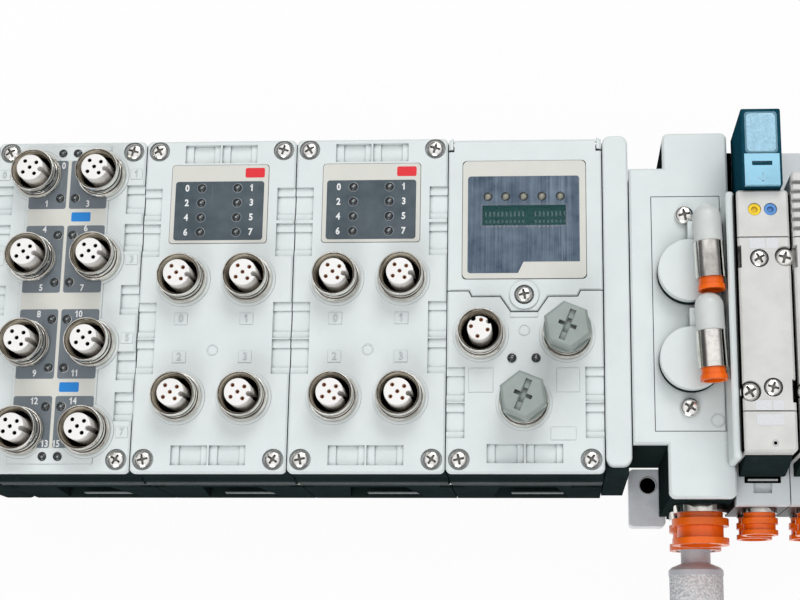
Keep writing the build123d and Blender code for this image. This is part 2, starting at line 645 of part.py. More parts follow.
with BuildPart() as adapter_plate:
    with BuildSketch(Plane.XY.offset(57.7)):
        with Locations((ADAPTER_LEFT + ADAPTER_WIDTH / 2, FRONT + 2.2 + 50.9)):
            RectangleRounded(ADAPTER_WIDTH - SEAM, 101.8, 2.6)
    extrude(amount=FACE_Z - 57.7)
    fillet(adapter_plate.faces().sort_by(Axis.Z)[-1].edges(), 0.8)
save(adapter_plate, "adapter_plate")

with BuildPart() as right_end_plate:
    with BuildSketch():
        with Locations((RIGHT_END_LEFT + SEAM + (RIGHT_END_WIDTH - SEAM) / 2, FRONT + 48.1)):
            RectangleRounded(RIGHT_END_WIDTH - SEAM, 112.6, 3.0)
    extrude(amount=FACE_Z)
    fillet(right_end_plate.faces().sort_by(Axis.Z)[-1].edges(), 1.0)
save(right_end_plate, "right_end_plate")

# ---------------------------------------------------------------- supply and exhaust block
PORTS_X = BLOCK_LEFT + 20.8
SUPPLY_Z = 42.0
EXHAUST_Z = 22.6
BLOCK_FRONT = FRONT - 7.2
BODY_TOP = 59.0
PORT_SLEEVE_DEPTH = 13.0     # how deep a tube sleeve stands in its block
LARGE_SLEEVE_R = 8.0
LARGE_TUBE_R = 6.1
ELBOW_PITCH = 26.6
ELBOW_X = BLOCK_LEFT + 22.1
ELBOW_V = 73.3
DISC_X = BLOCK_LEFT + 17.5
DISC_V = 59.8
SLAB_LEFT = BLOCK_LEFT + 27.6
SLAB_TOP = FACE_Z + 15.0


def block_outline(margin):
    """L-shaped outline of the block, drawn in by a margin."""
    right = STATIONS_LEFT - SEAM / 2 - margin
    with BuildLine() as outline:
        Polyline((BLOCK_LEFT + SEAM / 2 + margin, FRONT + 8.6 + margin),
                 (BLOCK_LEFT + 10.4 + margin, FRONT + 8.6 + margin),
                 (BLOCK_LEFT + 10.4 + margin, BLOCK_FRONT + margin),
                 (right, BLOCK_FRONT + margin), (right, FRONT + BACK_REACH - margin),
                 (BLOCK_LEFT + 10.5 + margin, FRONT + BACK_REACH - margin),
                 (BLOCK_LEFT + 10.5 + margin, FRONT + 93.3 - margin),
                 (BLOCK_LEFT + SEAM / 2 + margin, FRONT + 93.3 - margin), close=True)
    return outline.line


with BuildPart() as supply_body:
    with BuildSketch():
        add(block_outline(0.3))
        make_face()
    extrude(amount=BODY_TOP)
    # sleeve sockets of the supply and exhaust ports, reached from the front
    with BuildSketch(Plane.XZ.offset(-BLOCK_FRONT)):
        with Locations((PORTS_X, SUPPLY_Z), (PORTS_X, EXHAUST_Z)):
            Circle(LARGE_SLEEVE_R + 0.1)
    extrude(amount=-PORT_SLEEVE_DEPTH - 0.8, mode=Mode.SUBTRACT)
    # wells under the two elbows
    with BuildSketch(Plane.XY.offset(BODY_TOP)):
        with Locations((ELBOW_X, FRONT + ELBOW_V), (ELBOW_X, FRONT + ELBOW_V - ELBOW_PITCH)):
            Circle(4.2)
    extrude(amount=-6, mode=Mode.SUBTRACT)
    with BuildSketch(Plane.XY.offset(BODY_TOP)):
        with Locations((BLOCK_LEFT + 16.6, FRONT + 78.0), (BLOCK_LEFT + 16.9, FRONT + 19.2)):
            Circle(LARGE_SHANK_R + 0.1)
    extrude(amount=-7, mode=Mode.SUBTRACT)
    with BuildSketch():
        with Locations((BLOCK_LEFT + 7.0, FRONT)):
            Rectangle(13.0, 24.0)
    extrude(amount=8.0, mode=Mode.SUBTRACT)
save(supply_body, "supply_body")

PLATE_CENTRE = (BLOCK_LEFT + 17.0, FRONT + 48.25)
PLATE_SIZE = (20.4, 71.6)
with BuildPart() as supply_cover:
    with BuildSketch(Plane.XY.offset(BODY_TOP)):
        add(block_outline(0.0))
        make_face()
    extrude(amount=FACE_Z - BODY_TOP)
    fillet(supply_cover.edges().filter_by(Axis.Z).filter_by(
        lambda edge: edge.center().Y > FRONT + 100 or edge.center().Y < FRONT), 2.0)
    chamfer(supply_cover.faces().sort_by(Axis.Z)[-1].outer_wire().edges(), 0.6)
    # upright side wall beside the elbows
    with BuildSketch(Plane.XY.offset(BODY_TOP)):
        with Locations((SLAB_LEFT + 1.2, FRONT + 41.5)):
            RectangleRounded(2.4, 79.0, 1.0)
    extrude(amount=SLAB_TOP - BODY_TOP)
    chamfer(supply_cover.faces().sort_by(Axis.Z)[-1].outer_wire().edges(), 0.5)
    with BuildSketch(Plane.XY.offset(FACE_Z)):
        with Locations(PLATE_CENTRE):
            Rectangle(PLATE_SIZE[0] + 0.4, PLATE_SIZE[1] + 0.4)
    extrude(amount=-2.5, mode=Mode.SUBTRACT)
    with BuildSketch(Plane.XY.offset(FACE_Z)):
        with Locations((ELBOW_X, FRONT + ELBOW_V), (ELBOW_X, FRONT + ELBOW_V - ELBOW_PITCH)):
            Circle(4.2)
        with Locations((BLOCK_LEFT + 16.6, FRONT + 78.0), (BLOCK_LEFT + 16.9, FRONT + 19.2)):
            Circle(LARGE_SHANK_R + 0.1)
    extrude(amount=-6, mode=Mode.SUBTRACT)
save(supply_cover, "supply_cover")

with BuildPart() as port_cover:
    with BuildSketch(Plane.XY.offset(FACE_Z - 2.4)):
        with Locations(PLATE_CENTRE):
            Rectangle(*PLATE_SIZE)
    extrude(amount=2.4)
    with BuildSketch(Plane.XY.offset(FACE_Z)):
        with Locations((DISC_X, FRONT + DISC_V), (DISC_X, FRONT + DISC_V - ELBOW_PITCH)):
            Circle(9.4)
    extrude(amount=6.0)
    fillet(port_cover.faces().sort_by(Axis.Z)[-2:].edges(), 0.4)
    # square seats under the elbows
    with BuildSketch(Plane.XY.offset(FACE_Z)):
        with Locations((ELBOW_X - 0.2, FRONT + ELBOW_V - 1.2),
                       (ELBOW_X - 0.2, FRONT + ELBOW_V - 1.2 - ELBOW_PITCH)):
            Rectangle(9.4, 5.6)
    extrude(amount=5.0)
    with BuildSketch(Plane.XY.offset(FACE_Z + 5)):
        with Locations((ELBOW_X, FRONT + ELBOW_V), (ELBOW_X, FRONT + ELBOW_V - ELBOW_PITCH)):
            Circle(3.45)
    extrude(amount=-12, mode=Mode.SUBTRACT)
    with BuildSketch(Plane.XY.offset(FACE_Z)):
        with Locations((BLOCK_LEFT + 16.6, FRONT + 78.0), (BLOCK_LEFT + 16.9, FRONT + 19.2)):
            Circle(LARGE_SHANK_R + 0.1)
    extrude(amount=-4, mode=Mode.SUBTRACT)
    with BuildSketch(Plane.XY.offset(FACE_Z)):
        with Locations((BLOCK_LEFT + 24.9, FRONT + 15.4)):
            Circle(2.0)
            Circle(1.7, mode=Mode.SUBTRACT)
    extrude(amount=0.15)
save(port_cover, "port_cover")

with BuildPart() as mounting_foot:
    with BuildSketch():
        with Locations((BLOCK_LEFT + 6.9, FRONT - 0.8)):
            RectangleRounded(11.6, 18.4, 1.5)
        with Locations((BLOCK_LEFT + 7.1, FRONT + 3.2)):
            Circle(2.6, mode=Mode.SUBTRACT)
    extrude(amount=8.0)
save(mounting_foot, "mounting_foot")

# ---------------------------------------------------------------- elbow fittings
ELBOW_Z = FACE_Z + 13.0
ELBOW_TUBE_R = 3.05
ELBOW_TURN = 2.5             # degrees, as the fittings stand


def elbow(number):
    """Swivelling elbow: stem, domed body, tube sleeve and release button, its axis towards -Y."""
    middle_y = FRONT + ELBOW_V - (number - 1) * ELBOW_PITCH
    across = (cos(radians(ELBOW_TURN)), sin(radians(ELBOW_TURN)), 0)
    upright = Plane(origin=(ELBOW_X, middle_y, 0), x_dir=across, z_dir=(0, 0, 1))
    along = Plane(origin=(ELBOW_X, middle_y, ELBOW_Z), x_dir=upright.x_dir, z_dir=-upright.y_dir)
    with BuildPart(upright) as body:
        with BuildSketch(upright.offset(FACE_Z - 4.5)):
            Circle(3.4)
        extrude(amount=ELBOW_Z - FACE_Z + 4.5)
        with Locations((0, 0, ELBOW_Z)):
            Sphere(4.2)
        with BuildSketch(along):
            Circle(4.2)
        extrude(amount=7.4)
        with BuildSketch(along.offset(18.3)):
            Circle(ELBOW_TUBE_R + 0.62)
        extrude(amount=-14, mode=Mode.SUBTRACT)
    save(body, f"elbow_{number}")
    with BuildPart() as sleeve:
        with BuildSketch(along.offset(7.5)):
            Circle(4.4)
            Circle(ELBOW_TUBE_R + 0.6, mode=Mode.SUBTRACT)
        extrude(amount=10.8)
        with BuildSketch(along.offset(7.5)):
            Circle(ELBOW_TUBE_R + 0.6)
            Circle(ELBOW_TUBE_R, mode=Mode.SUBTRACT)
        extrude(amount=-3.0)
        with BuildSketch(along.offset(7.5)):
            Circle(ELBOW_TUBE_R + 0.6)
            Circle(ELBOW_TUBE_R, mode=Mode.SUBTRACT)
        extrude(amount=4.0)
    save(sleeve, f"elbow_{number}_sleeve")
    with BuildPart() as button:
        with BuildSketch(along.offset(14.5)):
            Circle(ELBOW_TUBE_R + 0.55)
            Circle(ELBOW_TUBE_R + 0.05, mode=Mode.SUBTRACT)
        extrude(amount=5.8)
        with BuildSketch(along.offset(20.3)):
            Circle(4.0)
            Circle(ELBOW_TUBE_R + 0.05, mode=Mode.SUBTRACT)
        extrude(amount=1.5)
    save(button, f"elbow_{number}_button")


for elbow_number in (1, 2):
    elbow(elbow_number)

# ---------------------------------------------------------------- port sleeves and buttons
MANIFOLD_FRONT = FRONT - 8.4
MANIFOLD_TOP = 55.0
PORT_A_Z = 44.4
PORT_B_Z = 30.4
SMALL_SLEEVE_R = 5.2
SMALL_TUBE_R = 4.05


def station_x(station):
    """Middle of a valve station."""
    return STATIONS_LEFT + (station - 0.5) * STATION_PITCH


SMALL_PORTS = [(station_x(station), height) for station in (1, 2) for height in (PORT_A_Z, PORT_B_Z)]
LARGE_PORTS = [(PORTS_X, SUPPLY_Z), (PORTS_X, EXHAUST_Z)]
with BuildPart() as port_sleeves:
    for front, places, outer, tube, stand in (
            (MANIFOLD_FRONT, SMALL_PORTS, SMALL_SLEEVE_R, SMALL_TUBE_R, 1.4),
            (BLOCK_FRONT, LARGE_PORTS, LARGE_SLEEVE_R, LARGE_TUBE_R, 2.4)):
        with BuildSketch(Plane.XZ.offset(-front + stand)):
            with Locations(*places):
                Circle(outer)
                Circle(tube + 0.75, mode=Mode.SUBTRACT)
        extrude(amount=-stand - PORT_SLEEVE_DEPTH)
        with BuildSketch(Plane.XZ.offset(-front - 4.5)):
            with Locations(*places):
                Circle(tube + 0.75)
                Circle(tube, mode=Mode.SUBTRACT)
        extrude(amount=-PORT_SLEEVE_DEPTH + 4.5)
save(port_sleeves, "port_sleeves")


def release_button(name, front, place, tube, flange, neck, start, length):
    """Spool-shaped release button: guide tube, seated flange, slotted neck and outer flange."""
    inner, gap, outer = length
    with BuildPart() as button:
        with BuildSketch(Plane.XZ.offset(-front - 3.0)):
            with Locations(place):
                Circle(tube + 0.7)
                Circle(tube + 0.05, mode=Mode.SUBTRACT)
        extrude(amount=start + 3.0)
        for begin, reach, radius in ((start, inner, flange), (start + inner, gap, neck),
                                     (start + inner + gap, outer, flange)):
            with BuildSketch(Plane.XZ.offset(-front + begin)):
                with Locations(place):
                    Circle(radius)
                    Circle(tube + 0.05, mode=Mode.SUBTRACT)
            extrude(amount=reach)
    save(button, name)


for station in (1, 2):
    for letter, height in (("a", PORT_A_Z), ("b", PORT_B_Z)):
        release_button(f"port_{station}{letter}_button", MANIFOLD_FRONT, (station_x(station), height),
                       SMALL_TUBE_R, 5.4, 4.7, 2.9, (1.8, 1.8, 1.4))
release_button("supply_button", BLOCK_FRONT, (PORTS_X, SUPPLY_Z), LARGE_TUBE_R, 8.5, 6.9, 4.1,
               (2.2, 3.6, 2.0))
release_button("exhaust_button", BLOCK_FRONT, (PORTS_X, EXHAUST_Z), LARGE_TUBE_R, 8.0, 6.9, 4.1,
               (2.2, 3.6, 2.0))

# Silencer: plug through the exhaust button, shoulder and porous cup
SILENCER_R = 8.3
PLUG_R = 4.6
with BuildPart() as silencer_plug:
    with BuildSketch(Plane.XY.offset(0)):
        with BuildLine():
            Polyline((0, FRONT + 2), (LARGE_TUBE_R - 0.1, FRONT + 2), (LARGE_TUBE_R - 0.1, FRONT - 18.8),
                     (PLUG_R, FRONT - 19.3), (PLUG_R, FRONT - 23.0), (SILENCER_R - 0.8, FRONT - 24.2),
                     (SILENCER_R + 0.2, FRONT - 25.2), (SILENCER_R + 0.2, FRONT - 26.8),
                     (0, FRONT - 26.8), close=True)
        make_face()
    revolve(axis=Axis.Y)
with BuildPart() as silencer_plug_placed:
    with Locations((PORTS_X, 0, EXHAUST_Z)):
        add(silencer_plug.part)
save(silencer_plug_placed, "silencer_plug")

with BuildPart() as silencer_element:
    with BuildSketch(Plane.XZ.offset(-FRONT + 26.8)):
        with Locations((PORTS_X, EXHAUST_Z)):
            Circle(SILENCER_R)
    extrude(amount=SILENCER_REACH - 26.8)
    fillet(silencer_element.edges().sort_by(Axis.Y)[0], 2.5)
save(silencer_element, "silencer_element")

# ---------------------------------------------------------------- manifold blocks
for station in (1, 2):
    middle = station_x(station)
    with BuildPart() as manifold:
        with BuildSketch(Plane.YZ.offset(middle - STATION_PITCH / 2 + SEAM / 2)):
            with BuildLine():
                Polyline((FRONT + 4, 0), (FRONT + 4, 18), (MANIFOLD_FRONT, 22),
                         (MANIFOLD_FRONT, MANIFOLD_TOP), (FRONT + 100, MANIFOLD_TOP),
                         (FRONT + 100, 0), close=True)
            make_face()
        extrude(amount=STATION_PITCH - SEAM)
        with BuildSketch(Plane.XZ.offset(-MANIFOLD_FRONT)):
            with Locations((middle, PORT_A_Z), (middle, PORT_B_Z)):
                Circle(SMALL_SLEEVE_R + 0.1)
        extrude(amount=-PORT_SLEEVE_DEPTH - 0.8, mode=Mode.SUBTRACT)
        with BuildSketch(Plane.XY.offset(MANIFOLD_TOP)):
            with Locations((middle, FRONT - 2.6)):
                Rectangle(5.4, 4.6)
        extrude(amount=-1.6, mode=Mode.SUBTRACT)
        with BuildSketch(Plane.XY.offset(MANIFOLD_TOP)):
            with Locations((middle - 5.6, FRONT + 20.9), (middle + 5.6, FRONT + 60.3)):
                Circle(LARGE_SHANK_R - 0.1)
        extrude(amount=-8, mode=Mode.SUBTRACT)
    save(manifold, f"manifold_{station}")

# ---------------------------------------------------------------- valves
VALVE_WIDTH = 15.0
VALVE_TOP = 80.0
VALVE_BASE = MANIFOLD_TOP + 0.8
VALVE_FRONT_V = 3.6
VALVE_BACK_V = 80.4
PILOT_V = 66.1
SPOOL_Z = 67.0
SPOOL_R = 3.0
SPOOL_CLEARANCE = 0.04


def valve_body(station):
    """Valve body with screw notches, spool chamber, override wells and a shallow seam."""
    middle = station_x(station) - 0.4
    back = VALVE_BACK_V if station == 1 else 86.0
    with BuildPart() as body:
        with BuildSketch(Plane.XY.offset(VALVE_BASE)):
            with Locations((middle, FRONT + (VALVE_FRONT_V + back) / 2)):
                RectangleRounded(VALVE_WIDTH, back - VALVE_FRONT_V, 1.2)
        extrude(amount=VALVE_TOP - VALVE_BASE)
        chamfer(body.faces().sort_by(Axis.Z)[-1].outer_wire().edges(), 0.6)
        # seams between the end piece, the body and the pilot section
        with BuildSketch(Plane.XY.offset(VALVE_TOP)):
            with Locations((middle, FRONT + 15.2), (middle, FRONT + PILOT_V)):
                Rectangle(VALVE_WIDTH + 1, 0.3)
        extrude(amount=-0.8, mode=Mode.SUBTRACT)
        # mounting screws through the whole body, their heads in notches of the sides
        with BuildSketch(Plane.XY.offset(VALVE_TOP)):
            with Locations((middle - 5.2, FRONT + 20.9), (middle + 6.0, FRONT + 60.3)):
                Circle(LARGE_HEAD_R + 0.2)
        extrude(amount=-3.0, mode=Mode.SUBTRACT)
        with BuildSketch(Plane.XY.offset(VALVE_TOP)):
            with Locations((middle - 5.2, FRONT + 20.9), (middle + 6.0, FRONT + 60.3)):
                Circle(LARGE_SHANK_R + 0.1)
        extrude(amount=VALVE_BASE - VALVE_TOP - 1, mode=Mode.SUBTRACT)
        with BuildSketch(Plane.XY.offset(VALVE_TOP)):
            with Locations((middle - VALVE_WIDTH / 2, FRONT + 60.3),
                           (middle + VALVE_WIDTH / 2, FRONT + 20.9)):
                Rectangle(2.0, 6.6)
        extrude(amount=-4.0, mode=Mode.SUBTRACT)
        # cover screws
        with BuildSketch(Plane.XY.offset(VALVE_TOP)):
            with Locations((middle - 1.4, FRONT + 59.8), (middle + 1.2, FRONT + 22.0)):
                Circle(SMALL_HEAD_R + 0.2)
        extrude(amount=-1.4, mode=Mode.SUBTRACT)
        with BuildSketch(Plane.XY.offset(VALVE_TOP)):
            with Locations((middle - 1.4, FRONT + 59.8), (middle + 1.2, FRONT + 22.0)):
                Circle(SMALL_SHANK_R + 0.1)
        extrude(amount=-7.5, mode=Mode.SUBTRACT)
        # spool chamber, closed at both ends
        if station == 1:
            with BuildSketch(Plane.XZ.offset(-FRONT - 9.0)):
                with Locations((middle, SPOOL_Z)):
                    Circle(SPOOL_R + SPOOL_CLEARANCE)
            extrude(amount=-48, mode=Mode.SUBTRACT)
            with BuildSketch(Plane.XY.offset(VALVE_TOP)):
                with Locations((middle - 2.3, FRONT + 74.5), (middle + 2.3, FRONT + 74.5)):
                    Circle(1.9)
            extrude(amount=-6.0, mode=Mode.SUBTRACT)
        else:
            with BuildSketch(Plane.XY.offset(VALVE_TOP)):
                with Locations((middle, FRONT + PILOT_V + 9.5)):
                    with GridLocations(1, 2.8, 1, 6):
                        Rectangle(VALVE_WIDTH + 1, 1.3)
            extrude(amount=-2.2, mode=Mode.SUBTRACT)
    save(body, f"valve_{station}_body")


for station in (1, 2):
    valve_body(station)

valve_1 = station_x(1) - 0.4
with BuildPart() as spool:
    with BuildSketch():
        with BuildLine():
            Polyline((0, -20), (SPOOL_R, -20), (SPOOL_R, -15), (1.7, -15), (1.7, -10), (SPOOL_R, -10),
                     (SPOOL_R, -4.5), (1.7, -4.5), (1.7, 4.5), (SPOOL_R, 4.5), (SPOOL_R, 10), (1.7, 10),
                     (1.7, 15), (SPOOL_R, 15), (SPOOL_R, 20), (0, 20), close=True)
        make_face()
    revolve(axis=Axis.Y)
with BuildPart() as spool_placed:
    with Locations((valve_1, FRONT + 33.0, SPOOL_Z)):
        add(spool.part)
save(spool_placed, "valve_1_spool")

# manual overrides: sprung buttons in the pilot section
for name, side in (("override_a", -1), ("override_b", 1)):
    with BuildPart() as override:
        with BuildSketch(Plane.XY.offset(VALVE_TOP - 4.4)):
            with Locations((valve_1 + side * 2.3, FRONT + 74.5)):
                Circle(1.83)
        extrude(amount=4.4 - 0.4)
        with BuildSketch(Plane.XY.offset(VALVE_TOP - 0.4)):
            with Locations((valve_1 + side * 2.3, FRONT + 74.5)):
                Circle(0.95)
        extrude(amount=-0.7, mode=Mode.SUBTRACT)
    save(override, name)

# lamp cover, its diffuser and the sliding-type lid, behind the pilot section
LAMP_TOP = FACE_Z + 21.0
with BuildPart() as lamp_cover:
    with BuildSketch(Plane.XY.offset(VALVE_BASE)):
        with Locations((valve_1, FRONT + 92.6)):
            RectangleRounded(11.6, 23.6, 0.6)
    extrude(amount=LAMP_TOP - VALVE_BASE)
    chamfer(lamp_cover.faces().sort_by(Axis.Z)[-1].outer_wire().edges(), 0.4)
    with BuildSketch(Plane.XY.offset(LAMP_TOP)):
        with Locations((valve_1, FRONT + 85.7)):
            Rectangle(10.4, 9.8)
        with Locations((valve_1, FRONT + 97.0)):
            RectangleRounded(9.0, 12.2, 1.4)
    extrude(amount=-1.4, mode=Mode.SUBTRACT)
save(lamp_cover, "lamp_cover")

with BuildPart() as lamp_lid:
    with BuildSketch(Plane.XY.offset(LAMP_TOP - 1.4)):
        with Locations((valve_1, FRONT + 85.7)):
            Rectangle(10.2, 9.6)
    extrude(amount=1.5)
    with BuildSketch(Plane.XY.offset(LAMP_TOP + 0.1)):
        with Locations((valve_1, FRONT + 87.6)):
            Rectangle(5.8, 1.2)
    extrude(amount=-0.9, mode=Mode.SUBTRACT)
save(lamp_lid, "lamp_lid")

with BuildPart() as lamp_diffuser:
    with BuildSketch(Plane.XY.offset(LAMP_TOP - 1.4)):
        with Locations((valve_1, FRONT + 97.0)):
            RectangleRounded(8.8, 12.0, 1.4)
    extrude(amount=1.6)
    fillet(lamp_diffuser.faces().sort_by(Axis.Z)[-1].edges(), 0.4)
save(lamp_diffuser, "lamp_diffuser")

# black end caps and gaskets of the two valves
with BuildPart() as valve_end_caps:
    for station in (1, 2):
        middle = station_x(station) - 0.4
        with BuildSketch(Plane.YZ.offset(middle - 6.6)):
            with BuildLine():
                Polyline((FRONT - 0.2, VALVE_BASE), (FRONT - 0.2, 60), (FRONT + 2.4, 73),
                         (FRONT + 3.5, 74), (FRONT + 3.5, VALVE_BASE), close=True)
            make_face()
        extrude(amount=13.2)
save(valve_end_caps, "valve_end_caps")

with BuildPart() as valve_gaskets:
    with BuildSketch(Plane.XY.offset(MANIFOLD_TOP)):
        for station in (1, 2):
            middle = station_x(station) - 0.4
            with Locations((middle, FRONT + 41.0)):
                RectangleRounded(12.6, 62.0, 1.0)
            with Locations((middle - 5.2, FRONT + 20.9), (middle + 6.0, FRONT + 60.3)):
                Circle(LARGE_SHANK_R + 0.2, mode=Mode.SUBTRACT)
    extrude(amount=VALVE_BASE - MANIFOLD_TOP)
save(valve_gaskets, "valve_gaskets")

# ---------------------------------------------------------------- screws
valve_small = [(station_x(station) - 0.4 + dx, FRONT + v) for station in (1, 2)
               for dx, v in ((-1.4, 59.8), (1.2, 22.0))]
small = pan_screw(SMALL_HEAD_R, 1.9, SMALL_SHANK_R, 9.0, 0.9)
short = pan_screw(SMALL_HEAD_R, 1.9, SMALL_SHANK_R, 5.0, 0.9)
with BuildPart() as small_screws:
    with Locations(*[(x, y, FACE_Z - 1.0) for x, y in SMALL_SCREWS]):
        add(small)
    with Locations(*[(x, y, VALVE_TOP - 1.4) for x, y in valve_small]):
        add(short)
save(small_screws, "small_screws")

large = pan_screw(LARGE_HEAD_R, 2.2, LARGE_SHANK_R, 6.0, 1.0)
long = pan_screw(LARGE_HEAD_R, 2.2, LARGE_SHANK_R - 0.2, 24.0, 1.0)
valve_large = [(station_x(station) - 0.4 + dx, FRONT + v) for station in (1, 2)
               for dx, v in ((-5.2, 20.9), (6.0, 60.3))]
with BuildPart() as large_screws:
    with Locations((BLOCK_LEFT + 16.6, FRONT + 78.0, FACE_Z), (BLOCK_LEFT + 16.9, FRONT + 19.2, FACE_Z)):
        add(large)
    with Locations(*[(x, y, VALVE_TOP - 3.0) for x, y in valve_large]):
        add(long)
save(large_screws, "large_screws")
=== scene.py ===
"""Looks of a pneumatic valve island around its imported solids.

One row of units seen from above their connector faces: an input unit, two output units, a bus
unit with a display cover, an adapter, a supply and exhaust block with elbow fittings, and the
valve stations.  The solids keep their shapes and get their finishes here.  Prints, threads,
contacts, lens domes, rings, tiles and clips are modelled on top of them.
"""
import logging
import math
from dataclasses import dataclass, field
from enum import Enum
from typing import Callable, Iterable, Sequence

import bmesh
import bpy
from mathutils import Matrix, Vector


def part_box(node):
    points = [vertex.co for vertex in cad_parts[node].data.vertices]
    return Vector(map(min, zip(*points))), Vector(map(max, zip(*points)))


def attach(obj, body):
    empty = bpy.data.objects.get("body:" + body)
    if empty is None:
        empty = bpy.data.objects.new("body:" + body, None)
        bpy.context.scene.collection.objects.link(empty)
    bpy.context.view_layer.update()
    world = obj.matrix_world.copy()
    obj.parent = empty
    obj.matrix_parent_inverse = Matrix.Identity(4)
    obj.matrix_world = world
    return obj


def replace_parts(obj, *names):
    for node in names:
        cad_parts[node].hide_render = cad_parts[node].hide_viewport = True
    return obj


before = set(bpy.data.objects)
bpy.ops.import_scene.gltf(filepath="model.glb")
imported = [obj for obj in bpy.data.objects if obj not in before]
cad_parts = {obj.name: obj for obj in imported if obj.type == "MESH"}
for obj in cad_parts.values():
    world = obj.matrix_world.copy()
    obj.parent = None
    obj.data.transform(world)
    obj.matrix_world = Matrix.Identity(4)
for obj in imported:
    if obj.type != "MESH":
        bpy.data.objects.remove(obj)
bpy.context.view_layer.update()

log = logging.getLogger("valve_island")

MM = 0.001
ROOT = "island"
COVER = "display_cover"
FACE = 62.0                # height of the units' faces
LABEL_TOP = 62.2           # tops of the printed label sheets
INPUT_LABEL_TOP = 62.3
PRINT = 0.05               # thickness of a printed field
INK = 0.03                 # thickness of printed characters
HALF_PITCH = 10.0          # from the middle of a unit to a column of its sockets
UNIT_MIDDLE = 23.5

Piece = bpy.types.Object
Socket = bpy.types.NodeSocket
Colour = tuple[int, int, int]
Shade = tuple[float, float, float, float]
Point = tuple[float, float]


def linear(colour: Colour) -> Shade:
    """Turn a display colour, each part from 0 to 255, into the shader's linear one."""
    parts = [c / 255 for c in colour]
    return (*[p / 12.92 if p <= 0.04045 else ((p + 0.055) / 1.055) ** 2.4 for p in parts], 1.0)


def faded(shade: Shade, *factors: float) -> Shade:
    """A colour times one factor, or times one each for red, green and blue."""
    spread = factors * 3 if len(factors) == 1 else factors
    return (*[min(1.0, c * f) for c, f in zip(shade, spread)], 1.0)


def round_about(radius: float, turns: Iterable[float]) -> list[Point]:
    """Points on a circle about the origin, at the given degrees."""
    return [(radius * math.cos(math.radians(t)), radius * math.sin(math.radians(t))) for t in turns]


# ---- shader sheets
def operator(operation: str, reflected: bool = False) -> Callable[["Value", object], "Value"]:
    """Make one operator of Value.

    Args:
        operation: the Math node's operation.
        reflected: True for the form in which a number stands first.

    Returns:
        The operator.
    """
    def act(value: "Value", other: "Value | float") -> "Value":
        """The operation on a Value and another."""
        return value.math(operation, *((other, value) if reflected else (value, other)))

    return act


class Value:
    """A shader socket that can stand in a Python expression; every operator adds a Math node."""

    def __init__(self, sheet: "Sheet", socket: Socket) -> None:
        """Wrap one output socket of a sheet."""
        self.sheet = sheet
        self.socket = socket

    def math(self, operation: str, first: "Value | float", second: "Value | float") -> "Value":
        """Result of a new Math node."""
        node = self.sheet.node("ShaderNodeMath", {"operation": operation}, {0: first, 1: second})
        return Value(self.sheet, node.outputs[0])

    __add__, __radd__ = operator("ADD"), operator("ADD", True)
    __sub__, __rsub__ = operator("SUBTRACT"), operator("SUBTRACT", True)
    __mul__, __rmul__ = operator("MULTIPLY"), operator("MULTIPLY", True)
    __gt__ = operator("GREATER_THAN")


class Nodes:
    """A node tree that is built from empty."""

    def __init__(self, tree: bpy.types.NodeTree) -> None:
        """Take a tree and empty it."""
        self.tree = tree
        tree.nodes.clear()

    def feed(self, place: Socket, given: object) -> None:
        """Link or set one input.

        Args:
            place: the input.
            given: a Value or a socket to link, or the number or colour to set.
        """
        if isinstance(given, Value):
            given = given.socket
        if isinstance(given, Socket):
            self.tree.links.new(given, place)
        else:
            place.default_value = given

    def node(self, kind: str, settings: dict | None = None,
             inputs: dict | None = None) -> bpy.types.Node:
        """Add a node.

        Args:
            kind: the node's type.
            settings: attributes to set first; "stops" are the stops of a colour ramp.
            inputs: values, sockets or Values by input name or number.

        Returns:
            The new node.
        """
        made = self.tree.nodes.new(kind)
        for name, setting in (settings or {}).items():
            if name == "stops":
                elements = made.color_ramp.elements
                while len(elements) < len(setting):
                    elements.new(0.5)
                for element, (position, colour) in zip(elements, setting):
                    element.position, element.color = position, colour
            else:
                setattr(made, name, setting)
        for name, given in (inputs or {}).items():
            self.feed(made.inputs[name], given)
        return made


